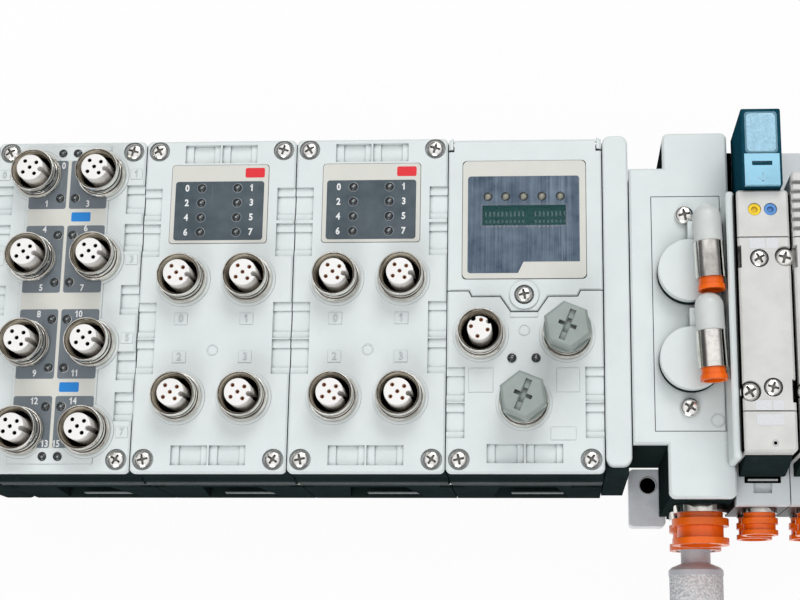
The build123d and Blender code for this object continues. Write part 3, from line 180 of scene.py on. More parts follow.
class Sheet(Nodes):
    """The node tree of one material, with a Principled shader on its output."""

    def __init__(self, name: str) -> None:
        """Start an empty material.

        Args:
            name: the material's name.
        """
        self.material = bpy.data.materials.new(name)
        self.material.use_nodes = True
        super().__init__(self.material.node_tree)
        self.shader = self.node("ShaderNodeBsdfPrincipled")
        self.output = self.node("ShaderNodeOutputMaterial", {}, {"Surface": self.shader.outputs[0]})
        self.place = self.node("ShaderNodeTexCoord").outputs["Object"]

    def stretched(self, scale: Sequence[float], turn: float = 0.0) -> Socket:
        """Object coordinates with each axis scaled and the whole turned about Z, in degrees."""
        spin = (0, 0, math.radians(turn))
        return self.node("ShaderNodeMapping", {"vector_type": "POINT"}, {
            "Vector": self.place, "Scale": tuple(scale), "Rotation": spin}).outputs[0]

    def noise(self, size_mm: float, detail: float, roughness: float,
              place: Socket | None = None) -> Value:
        """Noise between nought and one, with bumps of a size, finer layers and their strength."""
        return Value(self, self.node("ShaderNodeTexNoise", {}, {
            "Vector": place or self.place, "Scale": 1 / (size_mm * MM), "Detail": detail,
            "Roughness": roughness}).outputs[0])

    def cells(self, size_mm: float) -> Value:
        """Distance to the nearest point of a random field of cells."""
        return Value(self, self.node("ShaderNodeTexVoronoi", {"feature": "F1"}, {
            "Vector": self.place, "Scale": 1 / (size_mm * MM)}).outputs["Distance"])

    def span(self, value: Value, low: float, high: float, to_low: float = 0.0,
             to_high: float = 1.0) -> Value:
        """A value mapped from one span to another, clamped."""
        return Value(self, self.node("ShaderNodeMapRange", {"clamp": True}, {
            "Value": value, "From Min": low, "From Max": high, "To Min": to_low,
            "To Max": to_high}).outputs[0])

    def openness(self, reach_mm: float, low: float, high: float) -> Value:
        """Nought where walls within reach close a surface in, one where it's open."""
        node = self.node("ShaderNodeAmbientOcclusion", {"samples": 4}, {"Distance": reach_mm * MM})
        return self.span(Value(self, node.outputs["AO"]), low, high)

    def mix(self, factor: "Value | float", first: object, second: object) -> Socket:
        """Two colours blended: nought for the first, one for the second."""
        return self.node("ShaderNodeMix", {"data_type": "RGBA"},
                         {0: factor, 6: first, 7: second}).outputs[2]

    def bump(self, height: Value, depth_mm: float, soft_edge_mm: float = 0.0) -> None:
        """Drive the shader's normal.

        Args:
            height: the height, from nought to one.
            depth_mm: how deep one is.
            soft_edge_mm: radius of the worn or moulded edges.
        """
        inputs = {"Height": height, "Distance": depth_mm * MM, "Strength": 1.0}
        if soft_edge_mm:
            rounded = self.node("ShaderNodeBevel", {"samples": 3}, {"Radius": soft_edge_mm * MM})
            inputs["Normal"] = rounded.outputs[0]
        self.set(Normal=self.node("ShaderNodeBump", {}, inputs).outputs[0])

    def set(self, **values: object) -> None:
        """Set or link inputs of the Principled shader, by name with spaces as underscores."""
        for name, given in values.items():
            self.feed(self.shader.inputs[name.replace("_", " ")], given)


# ---- finishes
@dataclass(frozen=True)
class Coating:
    """What every finish has: a colour, and a way to be painted on a sheet."""

    colour: Colour

    @property
    def base(self) -> Shade:
        """The linear colour."""
        return linear(self.colour)

    def paint(self, sheet: Sheet) -> None:
        """Lay the finish on a sheet; each kind does it in its own way."""
        raise NotImplementedError

    def material(self, name: str) -> bpy.types.Material:
        """Build the finish.

        Args:
            name: the material's name.

        Returns:
            The material.
        """
        sheet = Sheet(name)
        self.paint(sheet)
        return sheet.material


@dataclass(frozen=True)
class MouldedPlastic(Coating):
    """Injection moulded plastic: eroded grain, faint flow mottling, softened edges and painted shade in
    creases.
    """

    roughness: float = 0.42
    grain_mm: float = 0.32
    depth_mm: float = 0.010
    mottle: float = 0.010
    edge_mm: float = 0.22
    grime: float = 0.0
    specular: float = 0.5
    # share of the base colour left in the painted shade of creases
    crease: float = 0.22
    reach_mm: float = 1.3

    def paint(self, sheet: Sheet) -> None:
        """Mottle the colour, paint shade into creases and seams where walls close the surface in, and
        grain the surface.

        Args:
            sheet: where the nodes go.
        """
        clouds = sheet.noise(9.0, 4.0, 0.6)
        grain = sheet.noise(self.grain_mm, 2.0, 0.55)
        colour = sheet.mix(sheet.span(clouds, 0.32, 0.62), faded(self.base, 1 - 3 * self.mottle),
                           faded(self.base, 1 + self.mottle))
        if self.grime:
            spots = sheet.span(sheet.noise(2.6, 5.0, 0.7), 0.60, 0.74) * self.grime
            colour = sheet.mix(spots, colour, linear((150, 146, 136)))
        # Painted shade: the colour darkens where nearby walls close the surface in.
        open_part = sheet.openness(self.reach_mm, 0.20, 0.64)
        colour = sheet.mix(open_part, faded(self.base, self.crease), colour)
        sheet.set(Base_Color=colour, Specular_IOR_Level=self.specular,
                  Roughness=sheet.span(grain, 0.3, 0.7, self.roughness - 0.05, self.roughness + 0.07))
        sheet.bump(grain + clouds * 0.4, self.depth_mm, self.edge_mm)


@dataclass(frozen=True)
class PlatedMetal(Coating):
    """Turned and plated metal: fine turning lines, smears, a little wear, painted reflection bands and
    painted shade in hollows.
    """

    roughness: float = 0.16
    smear: float = 0.14
    line_mm: float = 0.12
    depth_mm: float = 0.004
    edge_mm: float = 0.12
    reach_mm: float = 2.5
    # strength and size of the painted dark reflection bands along the axis
    bands: float = 0.0
    band_mm: float = 1.0

    def paint(self, sheet: Sheet) -> None:
        """Smear the metal, paint dark reflection bands and shade in its hollows, and turn fine lines in
        it.

        Args:
            sheet: where the nodes go.
        """
        smears = sheet.noise(2.2, 4.0, 0.65)
        lines = sheet.noise(self.line_mm, 2.0, 0.5, sheet.stretched((0.25, 0.25, 1.6)))
        # deep is a near-black copy of the base, used for the painted reflection bands and the painted
        # shade
        worn, deep = faded(self.base, 0.78), faded(self.base, 0.20, 0.18, 0.16)
        colour = sheet.mix(sheet.span(smears, 0.42, 0.68), self.base, worn)
        # Painted reflection: dark bands stretched along the axis.
        if self.bands:
            rings = sheet.noise(self.band_mm, 1.0, 0.4, sheet.stretched((0.10, 0.10, 1.0)))
            colour = sheet.mix(sheet.span(rings, 0.44, 0.60) * self.bands, colour, deep)
        # Painted shade: darker where nearby walls close the surface in.
        colour = sheet.mix(sheet.openness(self.reach_mm, 0.10, 0.62), deep, colour)
        sheet.set(Base_Color=colour, Metallic=1.0,
                  Roughness=sheet.span(smears, 0.3, 0.75, self.roughness, self.roughness + self.smear))
        sheet.bump(lines + smears * 0.5, self.depth_mm, self.edge_mm)


@dataclass(frozen=True)
class PrintedSheet(Coating):
    """Printed polyester sheet: satin, with fine texture and hairline scratches."""

    scratch_colour: Colour
    roughness: float = 0.38
    scratches: float = 0.25
    brushed: float = 0.0

    def paint(self, sheet: Sheet) -> None:
        """Smear, scratch and brush the print.

        Args:
            sheet: where the nodes go.
        """
        scratch = linear(self.scratch_colour)
        fine = sheet.noise(0.25, 2.0, 0.5)
        smear = sheet.noise(6.0, 3.0, 0.6)
        colour = sheet.mix(sheet.span(smear, 0.3, 0.7) * 0.25, self.base, scratch)
        hair = sheet.noise(3.0, 2.0, 0.4, sheet.stretched((9.0, 0.35, 1.0), 22))
        colour = sheet.mix(sheet.span(hair, 0.70, 0.76) * self.scratches, colour, scratch)
        height = fine
        if self.brushed:
            streak = sheet.noise(0.9, 4.0, 0.75, sheet.stretched((1.5, 0.02, 1.0)))
            band = sheet.noise(5.0, 2.0, 0.5, sheet.stretched((1.0, 0.06, 1.0)))
            amount = sheet.span(streak, 0.45, 0.75) * sheet.span(band, 0.35, 0.65, 0.25, 1.0)
            colour = sheet.mix(amount * self.brushed, colour, scratch)
            height = fine * 0.5 + streak
        sheet.set(Base_Color=colour,
                  Roughness=sheet.span(smear, 0.3, 0.7, self.roughness - 0.06, self.roughness + 0.1))
        sheet.bump(height, 0.004)


@dataclass(frozen=True)
class Ink(Coating):
    """Screen printed ink with a slightly uneven edge and cover."""

    def paint(self, sheet: Sheet) -> None:
        """Thin the ink in spots.

        Args:
            sheet: where the nodes go.
        """
        spots = sheet.noise(0.35, 3.0, 0.6)
        sheet.set(Base_Color=sheet.mix(sheet.span(spots, 0.35, 0.65), self.base, faded(self.base, 0.88)),
                  Roughness=sheet.span(spots, 0.3, 0.7, 0.42, 0.55))
        sheet.bump(spots, 0.003)


@dataclass(frozen=True)
class SinteredGrain(Coating):
    """Porous sintered plastic: packed round grains with dark gaps."""

    gap_colour: Colour
    grain_mm: float = 0.85

    def paint(self, sheet: Sheet) -> None:
        """Pack the grains.

        Args:
            sheet: where the nodes go.
        """
        cells = sheet.cells(self.grain_mm)
        fine = sheet.noise(0.3, 4.0, 0.7)
        tone = sheet.noise(1.4, 3.0, 0.7)
        gap = sheet.span(cells + fine * 0.25, 0.55, 0.85)
        dark = linear(self.gap_colour)
        colour = sheet.mix(gap, sheet.mix(sheet.span(tone, 0.35, 0.7), self.base, dark), dark)
        sheet.set(Base_Color=colour, Roughness=sheet.span(fine, 0.3, 0.7, 0.75, 0.95))
        sheet.bump(1.0 - cells + fine * 0.3, 0.30)


@dataclass(frozen=True)
class TintedGlaze(Coating):
    """Glossy tinted plastic, clear enough to show what is behind it."""

    alpha: float = 1.0
    roughness: float = 0.08
    ripple_mm: float = 1.6
    depth_mm: float = 0.02
    coat: float = 0.0
    specular: float = 0.5

    def paint(self, sheet: Sheet) -> None:
        """Ripple the glaze.

        Args:
            sheet: where the nodes go.
        """
        ripple = sheet.noise(self.ripple_mm, 2.0, 0.5)
        fine = sheet.noise(0.4, 3.0, 0.6)
        sheet.set(Base_Color=sheet.mix(sheet.span(ripple, 0.35, 0.65), self.base, faded(self.base, 0.82)),
                  Roughness=sheet.span(fine, 0.3, 0.7, self.roughness, self.roughness + 0.08),
                  Alpha=self.alpha, Coat_Weight=self.coat, Specular_IOR_Level=self.specular)
        sheet.bump(ripple + fine * 0.2, self.depth_mm, 0.2)


@dataclass(frozen=True)
class CircuitBoard(Coating):
    """Green circuit board with tracks under the solder resist."""

    track_colour: Colour

    def paint(self, sheet: Sheet) -> None:
        """Lay the tracks.

        Args:
            sheet: where the nodes go.
        """
        brick = sheet.node("ShaderNodeTexBrick", {"offset": 0.5},
                           {"Vector": sheet.place, "Scale": 420.0, "Mortar Size": 0.06,
                            "Color1": (0, 0, 0, 1), "Color2": (0, 0, 0, 1), "Mortar": (1, 1, 1, 1)})
        tracks = Value(sheet, brick.outputs["Fac"])
        weave = sheet.noise(0.5, 3.0, 0.6)
        sheet.set(Base_Color=sheet.mix(tracks * 0.6, self.base, linear(self.track_colour)),
                  Roughness=sheet.span(weave, 0.3, 0.7, 0.3, 0.45))
        sheet.bump(tracks + weave * 0.2, 0.03)


@dataclass(frozen=True)
class TwoTone(Coating):
    """Moulded plastic that is one colour above a height and another below it."""

    lower: Colour
    height_mm: float
    roughness: float = 0.42

    def paint(self, sheet: Sheet) -> None:
        """Part the colours at the height.

        Args:
            sheet: where the nodes go.
        """
        grain = sheet.noise(0.35, 2.0, 0.55)
        height = Value(sheet, sheet.node("ShaderNodeSeparateXYZ", {}, {0: sheet.place}).outputs["Z"])
        colour = sheet.mix(height > self.height_mm * MM, linear(self.lower), self.base)
        shade = sheet.span(sheet.noise(8.0, 4.0, 0.6), 0.3, 0.7) * 0.10
        sheet.set(Base_Color=sheet.mix(shade, colour, (0.02, 0.02, 0.02, 1)),
                  Roughness=sheet.span(grain, 0.3, 0.7, self.roughness - 0.04, self.roughness + 0.08))
        sheet.bump(grain, 0.012, 0.2)


class Finish(Enum):
    """The finishes of the object; after the colour come roughness, grain and the rest in order."""

    GREY_HOUSING = MouldedPlastic((221, 228, 227), 0.44)
    GREY_COVER = MouldedPlastic((221, 228, 227), 0.44, reach_mm=2.6, crease=0.12)
    BLACK_BASE = MouldedPlastic((36, 46, 46), 0.45, 0.5, 0.012, 0.06, 0.3, grime=0.03, specular=0.0)
    # Nickel of the shells, with painted reflection bands and painted shade in hollows.
    NICKEL = PlatedMetal((248, 245, 238), 0.05, 0.06, 0.12, 0.0012, 0.10, 0.8, bands=0.5, band_mm=0.9)
    WHITE_INSERT = MouldedPlastic((244, 243, 240), 0.36, 0.3, 0.006, 0.015, 0.12)
    LABEL_CREAM = PrintedSheet((217, 217, 209), (204, 204, 197), 0.46, 0.1)
    PANEL_SLATE = PrintedSheet((54, 69, 78), (120, 132, 138), 0.36, 0.5)
    PANEL_GREY = PrintedSheet((100, 110, 117), (138, 146, 152), 0.36, 0.4)
    PANEL_BLUE = PrintedSheet((40, 62, 84), (150, 170, 186), 0.32, 0.3, brushed=0.65)
    LENS_DARK = TintedGlaze((34, 40, 42), 1.0, 0.10, 0.8, 0.01, coat=0.5)
    LENS_CORE = MouldedPlastic((150, 158, 158), 0.2, 0.2, 0.01, 0.1, 0.05)
    BOARD_GREEN = CircuitBoard((22, 92, 80), (60, 150, 120))
    WINDOW_SMOKE = TintedGlaze((40, 100, 100), 0.35, 0.06, 3.0, 0.01)
    CAP_GREY = MouldedPlastic((152, 162, 157), 0.34, 0.3, 0.008, 0.04, 0.35)
    SCREW_STEEL = PlatedMetal((250, 248, 243), 0.20, 0.08, 0.2, 0.003, 0.12, 0.4)
    # Nickel of the bores, with stronger painted reflection bands and painted shade in the thread.
    BORE_NICKEL = PlatedMetal((240, 232, 216), 0.06, 0.06, 0.12, 0.003, 0.05, 1.4, 0.7, 0.8)
    # A little darker than the housing: painted shade on the raised numbers.
    MARK_GREY = MouldedPlastic((206, 213, 213), 0.44)
    # Dark grey of the painted shade in the screw recesses.
    SCREW_RECESS = MouldedPlastic((120, 118, 110), 0.4, 0.3, 0.005, 0.05, 0.05)
    ZINC = MouldedPlastic((196, 198, 196), 0.28, 0.2, 0.004, 0.03, 0.1)
    ORANGE = MouldedPlastic((255, 108, 8), 0.22, 0.3, 0.004, 0.05, 0.25)
    FOOT_ALUMINIUM = MouldedPlastic((232, 238, 243), 0.30, 0.25, 0.008, 0.04, 0.3)
    SILENCER_GREY = MouldedPlastic((196, 200, 205), 0.38, 0.4, 0.012, 0.05, 0.35)
    POROUS = SinteredGrain((246, 247, 248), (206, 209, 211))
    VALVE_GREY = MouldedPlastic((214, 214, 210), 0.42, 0.32, 0.010, 0.03, 0.25)
    TEAL = TintedGlaze((24, 72, 88), 1.0, 0.12, 2.5, 0.02, coat=0.0, specular=0.0)
    LIGHT_BLUE = MouldedPlastic((150, 208, 232), 0.30, 0.3, 0.006, 0.04, 0.2)
    DIFFUSER = TintedGlaze((164, 210, 232), 1.0, 0.14, 0.9, 0.10, coat=0.4)
    YELLOW = MouldedPlastic((250, 212, 20), 0.30, 0.3, 0.004, 0.05, 0.15)
    BLUE = MouldedPlastic((88, 148, 214), 0.30, 0.3, 0.004, 0.05, 0.15)
    BLACK_RUBBER = MouldedPlastic((18, 18, 19), 0.6, 0.4, 0.02, 0.06, 0.2)
    SPOOL_ALUMINIUM = PlatedMetal((206, 208, 210), 0.24, 0.1, 0.2, 0.006, 0.1)
    SWITCH_WHITE = TwoTone((214, 224, 226), (24, 60, 66), 57.0, 0.35)
    ELBOW_GREY = MouldedPlastic((212, 217, 214), 0.34, 0.3, 0.006, 0.03, 0.3)
    MANIFOLD_GREY = TwoTone((230, 236, 238), (22, 24, 25), 50.2)
    CONTACT_GOLD = PlatedMetal((180, 120, 88), 0.22, 0.1, 0.2, 0.002, 0.05)
    INK_WHITE = Ink((240, 242, 242))
    INK_RED = Ink((232, 30, 44))
    INK_BLUE = Ink((0, 132, 214))
    # Near-black with no sheen: painted shade in holes, gaps and slots.
    CAVITY = MouldedPlastic((9, 9, 9), 0.7, 0.5, 0.01, 0.05, 0.05, specular=0.0)
    CLEAR_FILM = MouldedPlastic((132, 142, 148), 0.2, 0.3, 0.004, 0.05, 0.1)
    # Lighter teal of the painted highlight on the lamp cover's rim.
    TEAL_EDGE = TintedGlaze((96, 142, 160), 1.0, 0.12, 1.5, 0.02, coat=0.4)
    # Grey of the painted highlights on the black bases' ledges and sills.
    SILL_GREY = MouldedPlastic((104, 113, 112), 0.3, 0.4, 0.01, 0.06, 0.2)
    TILE_PRINT = Ink((224, 226, 228))
    BULB = MouldedPlastic((152, 152, 138), 0.15, 0.3, 0.004, 0.04, 0.1)

    @property
    def material(self) -> bpy.types.Material:
        """The finish's material, built once."""
        name = self.name.lower() + "_finish"
        return bpy.data.materials.get(name) or self.value.material(name)

    def dress(self, piece: Piece) -> None:
        """Put this finish on every material slot of a piece.

        Args:
            piece: the piece to dress.
        """
        if not piece.material_slots:
            piece.data.materials.append(self.material)
        for place in piece.material_slots:
            place.material = self.material


NODES_OF_FINISHES: dict[Finish, str] = {
    Finish.BLACK_BASE: "adapter_base bus_base input_base joint_brackets left_end_plate output_1_base "
                       "output_2_base supply_body valve_end_caps",
    Finish.GREY_HOUSING: "adapter_plate bus_housing display_cover input_housing output_1_housing "
                         "output_2_housing right_end_plate",
    Finish.GREY_COVER: "port_cover supply_cover",
    Finish.SCREW_STEEL: "cover_hinge_pin cover_screw joint_screws large_screws small_screws",
    Finish.ORANGE: "elbow_1_button elbow_2_button exhaust_button port_1a_button port_1b_button "
                   "port_2a_button port_2b_button supply_button",
    Finish.NICKEL: "elbow_1_sleeve elbow_2_sleeve port_sleeves socket_shells",
    Finish.ELBOW_GREY: "elbow_1 elbow_2",
    Finish.LABEL_CREAM: "input_label output_labels",
    Finish.MANIFOLD_GREY: "manifold_1 manifold_2",
    Finish.SWITCH_WHITE: "switch_bank_1 switch_bank_2",
    Finish.VALVE_GREY: "valve_1_body valve_2_body",
    Finish.BOARD_GREEN: "circuit_boards", Finish.WINDOW_SMOKE: "display_window",
    Finish.LENS_DARK: "indicator_lenses", Finish.TEAL: "lamp_cover",
    Finish.DIFFUSER: "lamp_diffuser", Finish.LIGHT_BLUE: "lamp_lid",
    Finish.FOOT_ALUMINIUM: "mounting_foot", Finish.YELLOW: "override_a",
    Finish.BLUE: "override_b", Finish.POROUS: "silencer_element",
    Finish.SILENCER_GREY: "silencer_plug", Finish.CAP_GREY: "socket_caps",
    Finish.WHITE_INSERT: "socket_inserts", Finish.SPOOL_ALUMINIUM: "valve_1_spool",
    Finish.BLACK_RUBBER: "valve_gaskets",
}
NODE_FINISHES = {name: finish for finish, names in NODES_OF_FINISHES.items()
                 for name in names.split()}


# ---- modelling by operators
class Bench:
    """Primitives and edit-mode operators, in millimetres of the row frame."""

    @staticmethod
    def clear() -> None:
        """Leave nothing selected."""
        if bpy.context.mode != "OBJECT":
            bpy.ops.object.mode_set(mode="OBJECT")
        bpy.ops.object.select_all(action="DESELECT")

    @staticmethod
    def take(pieces: Sequence[Piece]) -> None:
        """Select some pieces and nothing else.

        Args:
            pieces: the pieces, of which the first becomes active.
        """
        Bench.clear()
        for piece in pieces:
            piece.select_set(True)
        bpy.context.view_layer.objects.active = pieces[0]

    @staticmethod
    def edit(piece: Piece) -> None:
        """Open a piece in edit mode, alone and all selected.

        Args:
            piece: the piece to edit.
        """
        Bench.take([piece])
        bpy.ops.object.mode_set(mode="EDIT")
        bpy.ops.mesh.select_all(action="SELECT")

    @staticmethod
    def smooth(piece: Piece) -> Piece:
        """Shade a piece smooth except at its sharp edges.

        Args:
            piece: the piece.

        Returns:
            The same piece.
        """
        Bench.take([piece])
        bpy.ops.object.shade_smooth_by_angle(angle=math.radians(32.0))
        return piece

    @staticmethod
    def apply(piece: Piece, modifier: str) -> None:
        """Apply one modifier of a piece."""
        with bpy.context.temp_override(object=piece, active_object=piece, selected_objects=[piece]):
            bpy.ops.object.modifier_apply(modifier=modifier)

    @staticmethod
    def settle(name: str, bevel_mm: float = 0.0) -> Piece:
        """Name the active object, put its place into its mesh and round its edges.

        Args:
            name: the piece's name.
            bevel_mm: radius of the rounded edges, or nought for none.

        Returns:
            The finished object.
        """
        piece = bpy.context.active_object
        piece.name = name
        bpy.ops.object.transform_apply(location=True, rotation=True, scale=True)
        if bevel_mm:
            edge = piece.modifiers.new("edges", "BEVEL")
            edge.width = bevel_mm * MM
            edge.segments = 2
            edge.limit_method = "ANGLE"
            edge.angle_limit = math.radians(35.0)
            edge.use_clamp_overlap = True
            Bench.apply(piece, edge.name)
        return piece

    @staticmethod
    def start(add: Callable[..., object], centre: Sequence[float], **settings: object) -> Piece:
        """Add a primitive with nothing else selected.

        Args:
            add: the operator that adds it.
            centre: its middle.
            settings: the operator's other settings.

        Returns:
            The new object.
        """
        Bench.clear()
        add(location=[c * MM for c in centre], **settings)
        return bpy.context.active_object

    @staticmethod
    def block(name: str, centre: Sequence[float], size: Sequence[float], bevel_mm: float = 0.0,
              turn: float = 0.0) -> Piece:
        """A block: its middle, its size, the radius of its edges and its degrees about Z."""
        Bench.start(bpy.ops.mesh.primitive_cube_add, centre, size=1,
                    rotation=(0, 0, math.radians(turn))).scale = [s * MM for s in size]
        return Bench.settle(name, bevel_mm)

    @staticmethod
    def disc(name: str, centre: Sequence[float], radius: float, height: float, sides: int,
             bevel_mm: float = 0.0) -> Piece:
        """An upright round bar: its middle, radius, height, sides and the radius of its edges."""
        Bench.start(bpy.ops.mesh.primitive_cylinder_add, centre, vertices=sides, radius=radius * MM,
                    depth=height * MM)
        return Bench.smooth(Bench.settle(name, bevel_mm))

    @staticmethod
    def punches(spots: Iterable[Point], height: float, radius: float, sides: int = 24,
                depth: float = 1) -> list[Piece]:
        """Round cutting tools, one through the given height at each spot."""
        return [Bench.disc("punch", (x, y, height), radius, depth, sides) for x, y in spots]

    @staticmethod
    def sheet(name: str, low: Point, high: Point, bottom: float, thickness: float,
              corner: float = 0.0) -> Piece:
        """A thin rectangular sheet with rounded corners.

        Args:
            name: the piece's name.
            low: its lower left corner, seen from above.
            high: its upper right corner.
            bottom: height of its underside.
            thickness: its thickness.
            corner: radius of its corners.

        Returns:
            The sheet.
        """
        centre = ((low[0] + high[0]) / 2, (low[1] + high[1]) / 2, bottom)
        plane = Bench.start(bpy.ops.mesh.primitive_plane_add, centre, size=1)
        plane.scale = ((high[0] - low[0]) * MM, (high[1] - low[1]) * MM, 1)
        piece = Bench.settle(name)
        Bench.edit(piece)
        if corner:
            bpy.ops.mesh.bevel(offset=corner * MM, segments=5, affect="VERTICES")
        bpy.ops.mesh.select_all(action="SELECT")
        bpy.ops.mesh.extrude_region_move(TRANSFORM_OT_translate={"value": (0, 0, thickness * MM)})
        bpy.ops.mesh.select_all(action="SELECT")
        bpy.ops.mesh.normals_make_consistent(inside=False)
        bpy.ops.object.mode_set(mode="OBJECT")
        return piece

    @staticmethod
    def pick(piece: Piece, wanted: Callable[[bmesh.types.BMFace], bool]) -> None:
        """Select the faces that are wanted, in edit mode.

        Args:
            piece: the piece being edited.
            wanted: says whether a face is wanted.
        """
        mesh = bmesh.from_edit_mesh(piece.data)
        bpy.ops.mesh.select_all(action="DESELECT")
        for face in mesh.faces:
            face.select = wanted(face)
        mesh.select_flush_mode()
        bmesh.update_edit_mesh(piece.data)

    @staticmethod
    def ring(name: str, profile: Sequence[Point], centre: Sequence[float], sides: int) -> Piece:
        """A turned piece: a closed profile, spun about its upright axis.

        Args:
            name: the piece's name.
            profile: radius and height of each corner, in order.
            centre: where the axis meets height nought.
            sides: how many steps round.

        Returns:
            The turned piece.
        """
        piece = Bench.start(bpy.ops.mesh.primitive_plane_add, (0, 0, 0), size=1)
        mesh = bmesh.new()
        corners = [mesh.verts.new((r * MM, 0, h * MM)) for r, h in profile]
        for first, second in zip(corners, corners[1:] + corners[:1]):
            mesh.edges.new((first, second))
        mesh.to_mesh(piece.data)
        mesh.free()
        Bench.edit(piece)
        bpy.ops.mesh.spin(steps=sides, angle=math.tau, center=(0, 0, 0), axis=(0, 0, 1))
        bpy.ops.mesh.select_all(action="SELECT")
        bpy.ops.mesh.remove_doubles(threshold=1e-6)
        bpy.ops.mesh.normals_make_consistent(inside=False)
        bpy.ops.object.mode_set(mode="OBJECT")
        piece.location = [c * MM for c in centre]
        return Bench.smooth(Bench.settle(name))

    @staticmethod
    def band(name: str, inner: float, outer: float, low: float, high: float, sides: int) -> Piece:
        """A square-edged ring about the origin, between two radii and two heights."""
        return Bench.ring(name, ((inner, low), (outer, low), (outer, high), (inner, high)), (0, 0, 0),
                          sides)

    @staticmethod
    def cut(piece: Piece, tools: Sequence[Piece], operation: str = "DIFFERENCE") -> None:
        """Cut tools out of a piece, and remove them.

        Args:
            piece: the piece that is cut.
            tools: closed shapes.
            operation: DIFFERENCE or INTERSECT.
        """
        tool = Bench.join("cutting_tool", tools)
        knife = piece.modifiers.new("cut", "BOOLEAN")
        knife.operation = operation
        knife.solver = "EXACT"
        knife.use_self = len(tools) > 1
        knife.object = tool
        Bench.apply(piece, knife.name)
        bpy.data.objects.remove(tool)

    @staticmethod
    def join(name: str, pieces: Sequence[Piece]) -> Piece:
        """Make one piece of several.

        Args:
            name: the new piece's name.
            pieces: the pieces, of which the first keeps its materials in front.

        Returns:
            The joined piece.
        """
        Bench.take(pieces)
        if len(pieces) > 1:
            bpy.ops.object.join()
        pieces[0].name = name
        return pieces[0]

    @staticmethod
    def repeated(piece: Piece, spots: Iterable[Sequence[float]]) -> Piece:
        """Copy a piece to each spot, each copy with its own mesh, and join them.

        Args:
            piece: the first piece, modelled about the origin, which is used up.
            spots: X and Y, or X, Y and Z, that each copy moves by.

        Returns:
            One piece that holds all the copies.
        """
        name = piece.name
        copies = []
        for spot in spots:
            copy = piece.copy()
            copy.data = piece.data.copy()
            copy.data.transform(Matrix.Translation(Vector((*spot, 0)[:3]) * MM))
            bpy.context.scene.collection.objects.link(copy)
            copies.append(copy)
        bpy.data.objects.remove(piece)
        return Bench.join(name, copies)

    @staticmethod
    def words(name: str, entries: Sequence[tuple[str, float, float]], height: float, bottom: float,
              thickness: float, bold: float, narrow: float) -> Piece:
        """Raised or printed characters.

        Args:
            name: the piece's name.
            entries: one character each, with the X and Y of its middle.
            height: height of a capital.
            bottom: height of their underside.
            thickness: how thick they are.
            bold: how much wider each stroke is, in millimetres.
            narrow: their width, as a share of the font's.

        Returns:
            One piece with all the characters.
        """
        made = []
        advance = height * 0.66 * narrow
        middle = bottom + thickness / 2
        for text, x, y in entries:
            for index, letter in enumerate(text):
                spot = x + (index - (len(text) - 1) / 2) * advance
                glyph = Bench.start(bpy.ops.object.text_add, (spot, y, middle))
                glyph.data.body = letter
                glyph.data.align_x = glyph.data.align_y = "CENTER"
                glyph.data.size = height * MM / 0.7
                glyph.data.resolution_u = 3
                glyph.data.offset = bold * MM
                glyph.data.extrude = thickness * MM / 2
                glyph.scale = (narrow, 1, 1)
                bpy.ops.object.convert(target="MESH")
                made.append(Bench.settle(name + "_part"))
                if letter == "1":
                    flag = (spot - height * 0.15, y + height * 0.33, middle)
                    size = (height * 0.30, height * 0.11 + bold, thickness)
                    made.append(Bench.block(name + "_flag", flag, size, turn=38))
        return Bench.join(name, made)


def place(piece: Piece, finish: Finish, slot: str, body: str = ROOT,
          spots: Sequence[Sequence[float]] = ()) -> Piece:
    """Dress a new piece, copy it to its spots, let it ride on its body and report it.

    Args:
        piece: the new piece.
        finish: what it is made of, unless it's dressed already.
        slot: the material slot it belongs to; not used.
        body: the body it moves with.
        spots: where its copies go, or nothing for a piece that is in place.

    Returns:
        The piece.
    """
    if not piece.material_slots or piece.material_slots[0].material is None:
        finish.dress(piece)
    if spots:
        piece = Bench.repeated(piece, spots)
    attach(piece, body)
    log.info("%s: %d faces, rides on %s", piece.name, len(piece.data.polygons), body)
    return piece


def print_numbers(name: str, entries: Sequence[tuple[str, float, float]], *sizes: float) -> None:
    """Print white numbers; the sizes are their height, underside, boldness and width."""
    height, bottom, bold, narrow = sizes
    place(Bench.words(name + "_numbers", entries, height, bottom, INK, bold, narrow),
          Finish.INK_WHITE, "label_cream")


def raise_numbers(name: str, entries: Sequence[tuple[str, float, float]], height: float) -> None:
    """Mould thin raised numbers on the housing, tinted a little darker than it as painted shade so their
    relief shows.
    """
    place(Bench.words(name + "_raised_numbers", entries, height, FACE + 0.1, 0.28, 0.02, 0.9),
          Finish.MARK_GREY, "grey_housing")


# ---- where things are
@dataclass
class UnitFrame:
    """One unit of the row: u runs from its left edge, v from its front edge, in millimetres."""

    node: str
    left: float = field(init=False)
    front: float = field(init=False)

    def __post_init__(self) -> None:
        """Read the unit's place from its housing, which starts a hair inside its pitch."""
        low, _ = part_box(self.node)
        self.left = low.x / MM - 0.15
        self.front = low.y / MM

    def at(self, u: float, v: float) -> Point:
        """Point of the row frame for a place on the unit."""
        return (self.left + u, self.front + v)

    def sheet(self, name: str, low: Point, high: Point, *sizes: float) -> Piece:
        """A sheet between two places; the sizes are its bottom, thickness and corner."""
        return Bench.sheet(name, self.at(*low), self.at(*high), *sizes)

    def sockets(self, rows: Sequence[float]) -> list[Point]:
        """Middles of two columns of sockets, with v of each row given."""
        return [self.at(UNIT_MIDDLE + side * HALF_PITCH, v) for v in rows for side in (-1, 1)]


def grown(low: Point, high: Point, margin: float) -> tuple[Point, Point]:
    """Two corners of a field, moved apart by a margin on every side."""
    return (low[0] - margin, low[1] - margin), (high[0] + margin, high[1] + margin)


